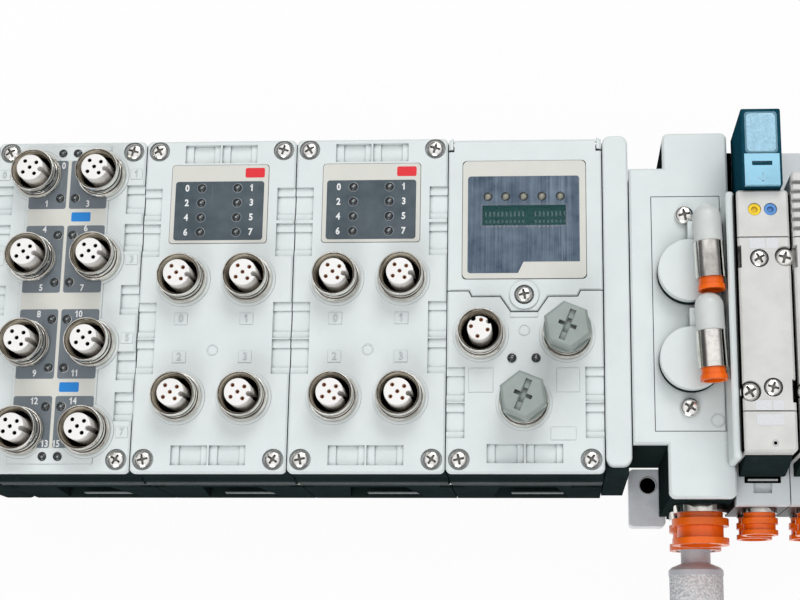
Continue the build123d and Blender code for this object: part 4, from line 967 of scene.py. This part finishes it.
# ---- sockets
@dataclass
class Sockets:
    """Round threaded sockets: turned shells, painted shade at the foot of their bores and keyed contact
    inserts.
    """

    dark_contacts: list[Point]
    copper_contacts: list[Point]
    four_pole: list[Point]
    insert_radius: float = 4.05
    slim_insert_radius: float = 3.6
    insert_top: float = 71.5
    insert_foot: float = 60.5
    contact_circle: float = 2.5
    contact_hole: float = 0.62
    contact_turn: float = -7.5
    key_radius: float = 0.78
    bore: float = 5.95
    thread_depth: float = 0.3
    thread_pitch: float = 1.0
    shell_foot: float = 59.0
    shell_top: float = 69.6

    def insert(self, name: str, radius: float, holes: Sequence[Point], keys: Sequence[float],
               reach: float, contact: Finish) -> Piece:
        """Contact insert with its holes, the contacts down in them and its key channels.

        Args:
            name: the piece's name.
            radius: its radius.
            holes: middles of the contact holes.
            keys: directions of the key channels, in degrees.
            reach: how far from the axis a channel's round end stands.
            contact: finish of the contacts.

        Returns:
            The insert, about the origin.
        """
        top = self.insert_top
        middle, height = (top + self.insert_foot) / 2, top - self.insert_foot
        body = Bench.disc(name, (0, 0, middle), radius, height, 48, 0.2)
        tools = Bench.punches(holes, top - 2.0, self.contact_hole, 16, 5)
        for turn in keys:
            end, slot = ((*round_about(away, [turn])[0], middle) for away in (reach, reach + 2.0))
            tools.append(Bench.disc("channel", end, self.key_radius, height + 2, 20))
            tools.append(Bench.block("channel", slot, (4.0, 2 * self.key_radius, height + 2), 0, turn))
        Bench.cut(body, tools)
        Bench.smooth(body)
        Finish.WHITE_INSERT.dress(body)
        pins = []
        wall = self.contact_hole - 0.02
        for x, y in holes:
            pin = Bench.ring("contact", ((0.26, -4.3), (wall, -4.3), (wall, -0.45), (0.32, -0.45)),
                             (x, y, top), 12)
            contact.dress(pin)
            pins.append(pin)
        return Bench.join(name, [body] + pins)

    def shell(self) -> Piece:
        """Nickel plated shell: tail, flange, grooved rim and the thread in its bore.

        Returns:
            The shell, about the origin.
        """
        foot, top, bore = self.shell_foot, self.shell_top, self.bore
        profile = [(bore, foot), (6.4, foot), (6.4, 62.35), (7.4, 62.35), (7.4, 64.2), (7.15, 64.6),
                   (6.75, 64.6), (6.6, 64.9), (6.65, 66.6), (6.42, 66.85), (6.42, 67.4), (6.65, 67.65),
                   (6.65, top - 0.25), (6.5, top), (6.36, top), (bore + 0.02, top - 0.75)]
        height = top - 0.9
        while height > 63.4:
            profile += [(bore - self.thread_depth, height - 0.5 * self.thread_pitch),
                        (bore, height - self.thread_pitch)]
            height -= self.thread_pitch
        shell = Bench.ring("socket_shell_turned", profile, (0, 0, 0), 56)
        Finish.NICKEL.dress(shell)
        shell.data.materials.append(Finish.BORE_NICKEL.material)
        Bench.edit(shell)
        Bench.pick(shell, lambda face: face.calc_center_median().xy.length < 6.25 * MM
                   and face.calc_center_median().z > 60.0 * MM)
        shell.active_material_index = 1
        bpy.ops.object.material_slot_assign()
        bpy.ops.object.mode_set(mode="OBJECT")
        return shell

    def build(self) -> None:
        """Model one of each kind and stand them on the units."""
        five = round_about(self.contact_circle, [45 + 90 * quarter + self.contact_turn
                                                 for quarter in range(4)]) + [(0, 0)]
        four = round_about(self.contact_circle, (78, 168, 258, 348))
        wide, slim = self.insert_radius, self.slim_insert_radius
        for name, radius, holes, keys, reach, spots, contact in (
                # The input contacts are painted near-black as shade down in their holes.
                ("input", wide, five, [-10.0], 3.3, self.dark_contacts, Finish.CAVITY),
                ("output", wide, five, [-10.0], 3.3, self.copper_contacts, Finish.CONTACT_GOLD),
                ("bus", slim, four, [36.0, 122.0], 3.4, self.four_pole, Finish.CONTACT_GOLD)):
            piece = self.insert(f"{name}_socket_inserts", radius, holes, keys, reach, contact)
            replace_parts(place(piece, Finish.WHITE_INSERT, "white_insert", ROOT, spots), "socket_inserts")
        everywhere = self.dark_contacts + self.copper_contacts + self.four_pole
        shells = place(self.shell(), Finish.NICKEL, "nickel", ROOT, everywhere)
        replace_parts(shells, "socket_shells")
        rim = self.shell_top
        # Painted shade in the rim groove and at the flange's foot, and a painted dark and a painted bright
        # reflection line on the bore's chamfer.
        for name, inner, outer, low, high, finish in (
                ("shell_rim_lines", 6.30, 6.68, 66.9, 67.3, Finish.BLACK_RUBBER),
                ("shell_foot_lines", 6.30, 6.80, 64.5, 64.8, Finish.BLACK_RUBBER),
                ("bore_rim_lines", 6.10, 6.30, rim - 0.42, rim - 0.27, Finish.BLACK_RUBBER),
                ("bore_bright_lines", 5.88, 6.10, rim - 1.20, rim - 0.95, Finish.ZINC)):
            line = Bench.band(name, inner, outer, low, high, 48)
            place(line, finish, "nickel", ROOT, everywhere)
        # Painted shade: a near-black disc at the foot of each bore.
        floor = Bench.disc("socket_floors", (0, 0, self.insert_foot), self.bore - 0.05, 1.0, 40)
        place(floor, Finish.CAVITY, "black_base", ROOT, everywhere)


# ---- screws
@dataclass
class Screws:
    """Cross-recessed pan head screws, with painted shade at the bottom of the recess."""

    name: str
    node: str
    body: str
    radius: float
    height: float
    spots: list[tuple[float, float, float]]
    turns: tuple[float, ...] = (12.0, 57.0, 31.0, 74.0)

    def head(self, turn: float) -> Piece:
        """One head about the origin, its recess turned.

        Args:
            turn: degrees that the recess is turned.

        Returns:
            The head.
        """
        r, h = self.radius, self.height
        head = Bench.ring(self.name, ((0.0, 0.0), (r, 0.0), (r, 0.45 * h), (0.95 * r, 0.70 * h),
                                      (0.80 * r, 0.88 * h), (0.50 * r, 0.97 * h), (0.0, h)), (0, 0, 0), 32)
        Bench.cut(head, [Bench.block("recess", (0, 0, h), (long * r, wide * r, deep * h), 0, turn + more)
                         for long, wide, deep, more in ((1.30, 0.26, 1.1, 0), (0.26, 1.30, 1.1, 0),
                                                        (0.50, 0.50, 1.2, 45))])
        Bench.smooth(head)
        Finish.SCREW_STEEL.dress(head)
        # Painted shade: dark sheets at the bottom of the cross recess.
        floors = [Bench.block("recess_floor", (0, 0, level * h), (long * r, wide * r, 0.06), 0, turn)
                  for level, long, wide in ((0.46, 1.26, 0.23), (0.47, 0.23, 1.26))]
        for floor in floors:
            Finish.SCREW_RECESS.dress(floor)
        return Bench.join(self.name, [head] + floors)

    def build(self) -> None:
        """Model the heads and stand them in their seats, the recesses turned in a few ways."""
        shares = [(turn, self.spots[index::len(self.turns)]) for index, turn in enumerate(self.turns)]
        heads = Bench.join(self.name, [Bench.repeated(self.head(turn), share)
                                       for turn, share in shares if share])
        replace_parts(place(heads, Finish.SCREW_STEEL, "screw_steel", self.body), self.node)


# ---- lenses
@dataclass
class Lens:
    """Indicator lens: dark cup with a clear dome and the lamp's core under it."""

    radius: float = 1.22
    ring_radius: float = 1.62
    core_radius: float = 0.42

    def build(self, name: str, spots: Sequence[Point], top: float, ring: bool) -> None:
        """Model the domes, cores and rings of some lenses.

        Args:
            name: what the lenses belong to.
            spots: their middles.
            top: height of the surface round them.
            ring: True for a raised ring of clear film round each.
        """
        r, rim, core = self.radius, self.ring_radius, self.core_radius
        dome = Bench.ring(name + "_domes", ((0.0, 0.0), (r, 0.0), (r, 0.12), (r * 0.86, 0.34),
                                            (r * 0.55, 0.50), (0.0, 0.56)), (0, 0, top), 24)
        place(dome, Finish.LENS_DARK, "lens_dark", ROOT, spots)
        bead = Bench.ring(name + "_cores", ((0.0, 0.40), (core, 0.40), (core * 0.8, 0.60), (0.0, 0.66)),
                          (0, 0, top), 14)
        place(bead, Finish.LENS_CORE, "lens_dark", ROOT, spots)
        if ring:
            film = Bench.ring(name + "_rims", ((r + 0.06, 0.0), (rim, 0.0), (rim - 0.1, 0.16),
                                               (r + 0.14, 0.2)), (0, 0, top), 28)
            place(film, Finish.CLEAR_FILM, "label_cream", ROOT, spots)


# ---- output units
@dataclass
class OutputUnit:
    """An output unit's print: dark panel with plain numbers, red box, and raised numbers."""

    name: str
    unit: UnitFrame
    panel: tuple[Point, Point] = ((9.75, 71.5), (37.25, 90.3))
    red_box: tuple[Point, Point] = ((31.3, 91.5), (37.3, 94.6))
    lens_us: Point = (17.95, 29.05)
    lens_vs: tuple[float, ...] = (88.1, 83.4, 78.7, 74.0)
    number_us: Point = (13.4, 33.5)
    raised_us: Point = (13.4, 33.4)
    raised_vs: Point = (46.8, 35.1)
    film: float = 0.06

    def numbers(self, columns: Sequence[float], rows: Sequence[float]) -> list[tuple[str, float, float]]:
        """Numbers counted along each row, from the first row on, with their middles."""
        return [(str(len(columns) * row + column), *self.unit.at(u, v))
                for row, v in enumerate(rows) for column, u in enumerate(columns)]

    def build(self) -> None:
        """Model the print and lenses of the unit."""
        lenses = [self.unit.at(u, v) for v in self.lens_vs for u in self.lens_us]
        top = LABEL_TOP + self.film
        panel = self.unit.sheet(self.name + "_panel", *self.panel, LABEL_TOP, self.film, 0.9)
        Bench.cut(panel, Bench.punches(lenses, LABEL_TOP, 1.4))
        place(panel, Finish.PANEL_SLATE, "label_cream")
        box = self.unit.sheet(self.name + "_red_box", *self.red_box, LABEL_TOP, PRINT, 0.5)
        place(box, Finish.INK_RED, "label_cream")
        print_numbers(self.name, self.numbers(self.number_us, self.lens_vs), 2.05, top, 0.10, 0.86)
        raise_numbers(self.name, self.numbers(self.raised_us, self.raised_vs), 2.4)
        Lens().build(self.name, lenses, top, True)


# ---- input unit
@dataclass
class InputUnit:
    """The input unit's print: grey panels round the sockets, plain numbers, blue boxes."""

    unit: UnitFrame
    sockets: list[Point]
    columns: tuple[Point, Point] = ((10.85, 22.6), (23.6, 35.3))
    rows: tuple[Point, ...] = ((81.9, 97.5), (55.2, 76.5), (28.5, 50.0), (7.5, 23.2))
    blue_boxes: tuple[Point, Point] = ((24.6, 77.8), (24.45, 24.45))
    blue_size: Point = (6.0, 2.95)
    lens_us: Point = (20.8, 25.5)
    lens_vs: tuple[float, ...] = (99.9, 85.3, 73.4, 58.5, 46.85, 31.75, 20.05, 4.8)
    number_places: tuple[Point, ...] = (
        (21.2, 95.8), (16.7, 83.5), (25.3, 95.8), (29.5, 83.4), (16.6, 75.2), (16.7, 56.7),
        (29.4, 75.5), (29.4, 56.6), (16.7, 48.4), (16.6, 30.1), (29.0, 48.4), (29.0, 30.1),
        (17.2, 21.6), (21.2, 8.7), (29.0, 21.6), (24.7, 8.7))
    hidden_number: int = 2    # this one is covered by its socket
    raised_columns: tuple[tuple[int, float], ...] = ((1, 44.2), (0, 2.6))
    raised_vs: tuple[float, ...] = (93.0, 65.6, 41.0, 12.2)
    collar_radius: float = 8.35
    collar_bore: float = 7.42
    lens_hole: float = 1.42

    def fields(self, name: str, bottom: float) -> Piece:
        """A printed field for each socket, joined."""
        return Bench.join(name, [self.unit.sheet(name, (left, low), (right, high), bottom, PRINT, 0.7)
                                 for low, high in self.rows for left, right in self.columns])

    def rounds(self, radius: float) -> list[Piece]:
        """Round cutting tools of a radius at the sockets."""
        return Bench.punches(self.sockets, INPUT_LABEL_TOP, radius, 48)

    def margins(self) -> None:
        """Housing-coloured strips on the label, round the printed fields."""
        low, high = ((corner.x / MM, corner.y / MM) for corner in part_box("input_label"))
        left, front = self.unit.at(self.columns[0][0], self.rows[-1][0])
        right, back = self.unit.at(self.columns[1][1], self.rows[0][1])
        edges = (((low[0], back), high), (low, (high[0], front)), ((low[0], front), (left, back)),
                 ((right, front), (high[0], back)))
        strips = Bench.join("input_margins", [Bench.sheet("input_margins", a, b, INPUT_LABEL_TOP, 0.04)
                                              for a, b in edges])
        Bench.cut(strips, self.rounds(self.collar_radius))
        place(strips, Finish.GREY_HOUSING, "grey_housing")

    def build(self) -> None:
        """Model the print and lenses of the unit."""
        at, top = self.unit.at, INPUT_LABEL_TOP
        lenses = [at(u, v) for v in self.lens_vs for u in self.lens_us]
        panel = self.fields("input_panels", top)
        Bench.cut(panel, self.rounds(self.collar_radius) + Bench.punches(lenses, top, self.lens_hole))
        place(panel, Finish.PANEL_GREY, "label_cream")
        collar = self.fields("input_collars", top + PRINT)
        Bench.cut(collar, self.rounds(self.collar_radius), "INTERSECT")
        Bench.cut(collar, self.rounds(self.collar_bore))
        place(collar, Finish.PANEL_GREY, "label_cream")
        self.margins()
        width, depth = self.blue_size
        boxes = [self.unit.sheet("input_blue_boxes", (u, v), (u + width, v + depth), top, PRINT, 0.45)
                 for u, v in self.blue_boxes]
        place(Bench.join("input_blue_boxes", boxes), Finish.INK_BLUE, "label_cream")
        entries = [(str(number), *at(u, v)) for number, (u, v) in enumerate(self.number_places)
                   if number != self.hidden_number]
        print_numbers("input", entries, 2.0, top + 0.11, 0.07, 0.84)
        raised = [(str(2 * row + column), *at(u, v)) for column, u in self.raised_columns
                  for row, v in enumerate(self.raised_vs)]
        raise_numbers("input", raised, 2.2)
        Lens().build("input", lenses, top, False)


# ---- bus unit
@dataclass
class BusUnit:
    """The bus unit's display cover print, its lamps and the marks of its caps."""

    unit: UnitFrame
    film: tuple[Point, Point] = ((4.6, 58.8), (42.0, 96.0))
    panel: tuple[Point, Point] = ((6.15, 60.5), (40.1, 91.1))
    window: tuple[Point, Point] = ((10.6, 75.5), (35.9, 81.8))
    lamp_us: tuple[float, ...] = (12.3, 17.7, 23.15, 28.7, 34.3)
    lamp_v: float = 84.6
    mark_spans: tuple[Point, Point] = ((12.2, 21.0), (24.2, 33.0))
    marks: int = 8
    lever_rows: tuple[tuple[float, int], ...] = ((11.5, 10), (26.7, 8))
    lever_pitch: float = 1.27
    top: float = FACE + 0.2

    def openings(self) -> list[Piece]:
        """Cutting tools for the lamps and the window.

        Returns:
            The tools.
        """
        (left, low), (right, high) = (self.unit.at(*corner) for corner in self.window)
        window = Bench.block("window", ((left + right) / 2, (low + high) / 2, self.top),
                             (right - left, high - low, 1))
        return Bench.punches(self.lamps, self.top, 1.3) + [window]

    @property
    def lamps(self) -> list[Point]:
        """Middles of the lamps."""
        return [self.unit.at(u, self.lamp_v) for u in self.lamp_us]

    def print(self) -> None:
        """Model the film of the display cover with its panel, outline and marks."""
        at, sheet, top = self.unit.at, self.unit.sheet, self.top
        film = sheet("display_sheet", *self.film, top, PRINT, 1.5)
        Bench.cut(film, self.openings())
        place(film, Finish.LABEL_CREAM, "label_cream", COVER)
        panel = sheet("display_panel", *self.panel, top + PRINT, PRINT, 0.9)
        steps = [sheet("step", (23.1, 58.0), (41.5, 64.0), top - 1, 2),
                 Bench.block("step", (*at(23.15, 59.53), top), (4.0, 8.0, 2), 0, -25.9)]
        Bench.cut(panel, self.openings() + steps)
        place(panel, Finish.PANEL_BLUE, "label_cream", COVER)
        outline = sheet("display_outline", *grown(*self.window, 0.5), top + 2 * PRINT, INK, 0.6)
        Bench.cut(outline, [sheet("inside", *grown(*self.window, 0.3), top - 1, 2, 0.5)])
        place(outline, Finish.PANEL_GREY, "label_cream", COVER)
        us = [start + (end - start) * index / (self.marks - 1)
              for start, end in self.mark_spans for index in range(self.marks)]
        marks = [sheet("display_marks", (u - 0.35, 74.95), (u + 0.35, 75.25), top + 2 * PRINT, INK)
                 for u in us]
        place(Bench.join("display_marks", marks), Finish.INK_WHITE, "label_cream", COVER)

    def build(self) -> None:
        """Model what the cover carries and what shows through it."""
        at, seat_height = self.unit.at, self.top + PRINT
        self.print()
        for name, profile, sides, finish in (
                ("display_lamp_seats", ((0.75, 0.0), (1.45, 0.0), (1.40, 0.10), (1.15, 0.20),
                                        (0.75, 0.06)), 28, Finish.LENS_DARK),
                ("display_lamp_bulbs", ((0.0, -0.1), (0.92, -0.1), (0.90, 0.15), (0.66, 0.45),
                                        (0.3, 0.62), (0.0, 0.66)), 20, Finish.BULB)):
            lamp = Bench.ring(name, profile, (0, 0, seat_height), sides)
            place(lamp, finish, "lens_dark", COVER, self.lamps)
        levers = [Bench.block("switch_levers", (*at(start + self.lever_pitch * step, 80.1), 58.2),
                              (0.55, 1.5, 1.6), 0.1)
                  for start, count in self.lever_rows for step in range(count)]
        place(Bench.join("switch_levers", levers), Finish.INK_WHITE, "switch_white")
        lip = Bench.block("cover_lip", (*at(23.2, 47.6), FACE + 0.1), (8.4, 1.5, 0.5), 0.15)
        place(lip, Finish.GREY_HOUSING, "grey_housing")
        Lens().build("bus", [at(19.6, 34.4), at(26.8, 34.4)], FACE + 0.3, False)


# ---- valves
@dataclass
class ValveRow:
    """What stands on the valve stations: tiles, frames, slots, gaps and clips."""

    pitch: float = 16.0
    width: float = 15.0
    top: float = 80.0
    disc_pitch: float = 26.6

    def __post_init__(self) -> None:
        """Read the places of the first valve and the supply block."""
        low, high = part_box("valve_1_body")
        self.middle = (low.x + high.x) / 2 / MM
        self.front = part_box("output_1_housing")[0].y / MM
        self.block_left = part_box("supply_cover")[0].x / MM

    def spot(self, dx: float, v: float, z: float) -> tuple[float, float, float]:
        """Place at dx from the first valve's middle and v from the units' front edge."""
        return (self.middle + dx, self.front + v, z)

    def on_both(self, seats: Sequence[Point], z: float) -> list[tuple[float, float, float]]:
        """The same seats on each of the two stations."""
        return [self.spot(station * self.pitch + dx, v, z) for station in (0, 1) for dx, v in seats]

    def small_screws(self) -> list[tuple[float, float, float]]:
        """Seats of the small screws of the valves."""
        return self.on_both(((-1.4, 59.8), (1.2, 22.0)), self.top - 1.4)

    def large_screws(self) -> list[tuple[float, float, float]]:
        """Seats of the large screws of the valves and the port cover.

        Returns:
            The seats.
        """
        low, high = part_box("port_cover")
        left = (low.x + high.x) / 2 / MM
        seats = [(left - 0.4, self.front + 78.0, FACE), (left - 0.1, self.front + 19.2, FACE)]
        return seats + self.on_both(((-5.2, 20.9), (6.0, 60.3)), self.top - 3.0)

    def gaps(self) -> None:
        """Painted shade: dark strips in the gaps beside the valves and in the screw notches."""
        half, length, centre = self.width / 2, 76.0, 42.0
        strips = [Bench.block("valve_gap_strips", self.spot(dx, v, z), size) for dx, v, z, size in (
            (-half - 0.13, centre, 67.8, (0.22, length, 23.4)),
            (half + 0.5, centre, 66.0, (0.9, length, 20.0)),
            (-half + 0.10, 60.3, 77.3, (0.2, 6.4, 2.2)), (half - 0.10, 20.9, 77.3, (0.2, 6.4, 2.2)),
            (-half + 0.75, 90.2, 55.6, (1.7, 19.4, 1.0)))]
        place(Bench.join("valve_gap_strips", strips), Finish.CAVITY, "black_rubber")

    def tiles(self) -> None:
        """White printed tiles, the vent eyelet and the slot of the lid."""
        x, y, top = self.middle, self.front, self.top
        tiles = [Bench.sheet("valve_tiles", (x + a, y + b), (x + c, y + d), top, 0.08, 0.25)
                 for a, b, c, d in ((-4.1, 62.7, 0.4, 65.8), (0.7, 62.7, 4.1, 65.8),
                                    (-3.9, 15.4, 0.6, 18.3), (0.9, 15.4, 4.0, 18.3),
                                    (-3.8, 11.2, 3.9, 14.3))]
        place(Bench.join("valve_tiles", tiles), Finish.TILE_PRINT, "white_insert")
        rim = Bench.ring("vent_eyelet", ((0.45, 0.0), (0.95, 0.0), (0.9, 0.18), (0.55, 0.2)),
                         self.spot(1.2, 6.1, top), 24)
        place(rim, Finish.ZINC, "screw_steel")
        # Painted shade: a dark disc inside the eyelet where the vent hole is.
        hole = Bench.disc("vent_hole", self.spot(1.2, 6.1, top + 0.02), 0.46, 0.05, 18)
        place(hole, Finish.CAVITY, "black_rubber")
        low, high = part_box("lamp_lid")
        lid_x, lid_top = (low.x + high.x) / 2 / MM + 0.1, high.z / MM
        slot = Bench.block("lid_slot", (lid_x, y + 87.3, lid_top - 0.05), (5.6, 0.8, 0.16))
        place(slot, Finish.TEAL, "teal")
        arrow = [Bench.block("lid_arrow", (lid_x, y + 83.9, lid_top), (0.5, 1.8, 0.06))]
        arrow += [Bench.block("lid_arrow", (lid_x + side * 0.75, y + 82.7, lid_top), (2.1, 0.45, 0.06),
                              0, side * 40) for side in (-1, 1)]
        place(Bench.join("lid_arrow", arrow), Finish.DIFFUSER, "light_blue")

    def lamp_frame(self) -> None:
        """Painted highlight: a lighter teal rim on the lamp cover round the diffuser."""
        low, high = ((corner.x / MM, corner.y / MM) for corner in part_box("lamp_diffuser"))
        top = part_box("lamp_cover")[1].z / MM
        rim = Bench.sheet("lamp_frame", (low[0] - 0.35, low[1] - 0.3), (high[0] + 0.35, high[1] + 0.35),
                          top, 0.12, 1.0)
        Bench.cut(rim, [Bench.sheet("inside", *grown(low, high, -0.25), top - 1, 2, 1.0)])
        place(rim, Finish.TEAL_EDGE, "teal")

    def clip(self) -> None:
        """Bright end of the metal clip in front of the valve, and painted shade in the slot round it."""
        slot = Bench.block("clip_slot", self.spot(0.4, -0.7, 55.1), (10.6, 2.6, 0.25))
        place(slot, Finish.CAVITY, "black_rubber")
        end = Bench.block("clip_end", self.spot(0.4, -1.1, 55.4), (8.8, 0.6, 0.5), 0.1)
        place(end, Finish.ZINC, "screw_steel")

    def disc_gaps(self) -> None:
        """Painted shadow: a dark band round the foot of each round disc of the port cover."""
        low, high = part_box("port_cover")
        centre = (low.x + high.x) / 2 / MM + 0.5
        place(Bench.band("disc_gaps", 9.2, 9.47, 0.05, 3.0, 72), Finish.BLACK_BASE, "black_base", ROOT,
              [(centre, self.front + v, FACE) for v in (59.8, 59.8 - self.disc_pitch)])

    def foot_washer(self) -> None:
        """Painted shade: a dark cup lining the foot's hole, and the rim of the hole."""
        low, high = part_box("mounting_foot")
        x, y = self.block_left + 7.1, self.front + 3.2
        # Painted shade: a near-black cup down the foot's hole.
        shade_cup = Bench.ring("foot_washer", ((0.0, 0.1), (2.58, 0.1), (2.58, 7.2), (2.45, 7.2), (2.4, 0.6),
                                            (0.0, 0.5)), (x, y, 0), 28)
        place(shade_cup, Finish.CAVITY, "black_rubber")
        rim = Bench.ring("foot_rim", ((2.6, 0.0), (3.0, 0.0), (2.9, 0.12), (2.65, 0.12)),
                         (x, y, high.z / MM), 32)
        place(rim, Finish.ZINC, "foot_aluminium")

    def build(self) -> None:
        """Model everything that stands on the stations."""
        for step in (self.gaps, self.tiles, self.lamp_frame, self.clip, self.disc_gaps,
                     self.foot_washer):
            step()


# ---- front of the row
@dataclass
class FrontStrip:
    """The front walls of the bases: painted highlights along the ledges and on the window sills."""

    units: Iterable[UnitFrame]
    ledges: tuple[Point, Point] = ((42.0, 0.8), (37.0, 0.6))

    def build(self) -> None:
        """Model the painted highlights on the ledges and sills of every unit."""
        middles = [unit.at(UNIT_MIDDLE, 0) for unit in self.units]
        ledges = [Bench.block("base_ledges", (x, y + 0.25 - depth / 2, height), (46.2, depth, 0.25))
                  for x, y in middles for height, depth in self.ledges]
        sills = [Bench.block("window_sills", (x + 3.0, y + 0.9, 7.0), (17.0, 0.5, 3.0), 0.15)
                 for x, y in middles]
        place(Bench.join("base_ledges", ledges), Finish.SILL_GREY, "black_base")
        place(Bench.join("window_sills", sills), Finish.SILL_GREY, "black_base")


# ---- stage
@dataclass
class Studio:
    """Pale floor, soft light and the camera."""

    camera_place: tuple[float, float, float] = (0.04075, -0.08433, 0.52866)
    right: tuple[float, float, float] = (0.998567, 0.007107, -0.053049)
    up: tuple[float, float, float] = (0.005712, 0.971336, 0.237642)
    back: tuple[float, float, float] = (0.053217, -0.237605, 0.969903)
    lens: float = 72.0
    shift_x: float = -0.0875
    sky_levels: tuple[Point, ...] = ((0.0, 0.10), (0.45, 0.14), (0.75, 0.85), (1.0, 0.95))
    floor_glow: float = 0.95

    def camera(self) -> None:
        """Stand the camera above the row."""
        data = bpy.data.cameras.new("camera")
        data.lens, data.sensor_width, data.shift_x = self.lens, 36.0, self.shift_x
        data.clip_start, data.clip_end = 0.01, 20.0
        camera = bpy.data.objects.new("camera", data)
        bpy.context.scene.collection.objects.link(camera)
        turn = Matrix((self.right, self.up, self.back)).transposed()
        camera.matrix_world = Matrix.Translation(self.camera_place) @ turn.to_4x4()
        bpy.context.scene.camera = camera

    def lamp(self, name: str, spot: Sequence[float], size: float, watts: float) -> None:
        """Hang a soft square lamp that points at the row.

        Args:
            name: its name.
            spot: where it hangs, in metres.
            size: its width, in metres.
            watts: its power.
        """
        data = bpy.data.lights.new(name, "AREA")
        data.shape, data.size, data.energy = "SQUARE", size, watts
        lamp = bpy.data.objects.new(name, data)
        bpy.context.scene.collection.objects.link(lamp)
        lamp.location = spot
        aim = Vector((0.0, 0.0, 0.05)) - Vector(spot)
        lamp.rotation_euler = aim.to_track_quat("-Z", "Y").to_euler()

    def sky(self) -> None:
        """Even light from all round, brighter overhead."""
        world = bpy.data.worlds.new("studio")
        bpy.context.scene.world = world
        world.use_nodes = True
        nodes = Nodes(world.node_tree)
        place = nodes.node("ShaderNodeTexCoord").outputs["Generated"]
        height = nodes.node("ShaderNodeSeparateXYZ", {}, {0: place}).outputs["Z"]
        stops = [(position, (level, level, level * 1.02, 1)) for position, level in self.sky_levels]
        ramp = nodes.node("ShaderNodeValToRGB", {"stops": stops}, {0: height})
        shade = nodes.node("ShaderNodeBackground", {}, {"Color": ramp.outputs[0]})
        nodes.node("ShaderNodeOutputWorld", {}, {"Surface": shade.outputs[0]})

    def floor(self) -> None:
        """Lay a pale floor that shows white and keeps the shadow."""
        Bench.clear()
        bpy.ops.mesh.primitive_plane_add(size=8, location=(0, 0, -0.0002))
        floor = bpy.context.active_object
        floor.name = "floor"
        sheet = Sheet("floor_paper")
        sheet.set(Base_Color=linear((246, 246, 246)), Roughness=0.8)
        seen = sheet.node("ShaderNodeLightPath")
        rays = Value(sheet, seen.outputs["Is Camera Ray"]) + Value(sheet, seen.outputs["Is Glossy Ray"])
        rays = rays + Value(sheet, seen.outputs["Is Transmission Ray"])
        glow = sheet.node("ShaderNodeEmission", {}, {"Color": (1, 1, 1, 1), "Strength": 1.0})
        mixed = sheet.node("ShaderNodeMixShader", {}, {0: rays * self.floor_glow, 2: glow.outputs[0],
                                                       1: sheet.shader.outputs[0]})
        sheet.feed(sheet.output.inputs["Surface"], Value(sheet, mixed.outputs[0]))
        floor.data.materials.append(sheet.material)

    def build(self) -> None:
        """Set the stage."""
        bpy.context.scene.view_settings.view_transform = "Standard"
        self.camera()
        self.sky()
        self.floor()
        self.lamp("key", (0.30, 1.30, 1.35), 0.9, 12.5)
        self.lamp("fill", (-0.25, -1.05, 0.80), 0.8, 6.0)


def main() -> None:
    """Dress the solids and build the pieces around them."""
    logging.basicConfig(level=logging.INFO, format="%(name)s: %(message)s")
    for name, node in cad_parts.items():
        NODE_FINISHES[name].dress(node)
    Studio().build()
    units = {name: UnitFrame(name + "_housing") for name in ("input", "output_1", "output_2", "bus")}
    bus = units["bus"]
    input_sockets = units["input"].sockets((92.5, 65.9, 39.2, 12.6))
    output_sockets = [spot for name in ("output_1", "output_2")
                      for spot in units[name].sockets((59.0, 22.7))]
    bus_sockets = [bus.at(10.3, 41.5), bus.at(36.1, 41.3), bus.at(23.2, 20.8)]
    Sockets(input_sockets, output_sockets, bus_sockets).build()
    valves = ValveRow()
    corners = [(*unit.at(u, v), FACE - 1.0) for name, unit in units.items()
               for v in (4.05, 100.3) for u in (4.04, 42.96) if name != "bus" or v < 10]
    cover_screw = (*bus.at(23.3, 53.7), FACE - 0.5)
    Screws("small_screw_heads", "small_screws", ROOT, 2.5, 1.9, corners + valves.small_screws()).build()
    Screws("large_screw_heads", "large_screws", ROOT, 2.8, 2.2, valves.large_screws()).build()
    Screws("cover_screw_head", "cover_screw", COVER, 2.5, 2.2, [cover_screw]).build()
    valves.build()
    FrontStrip(units.values()).build()
    InputUnit(units["input"], input_sockets).build()
    OutputUnit("output_1", units["output_1"]).build()
    OutputUnit("output_2", units["output_2"]).build()
    BusUnit(bus).build()


if __name__ == "__main__":
    main()
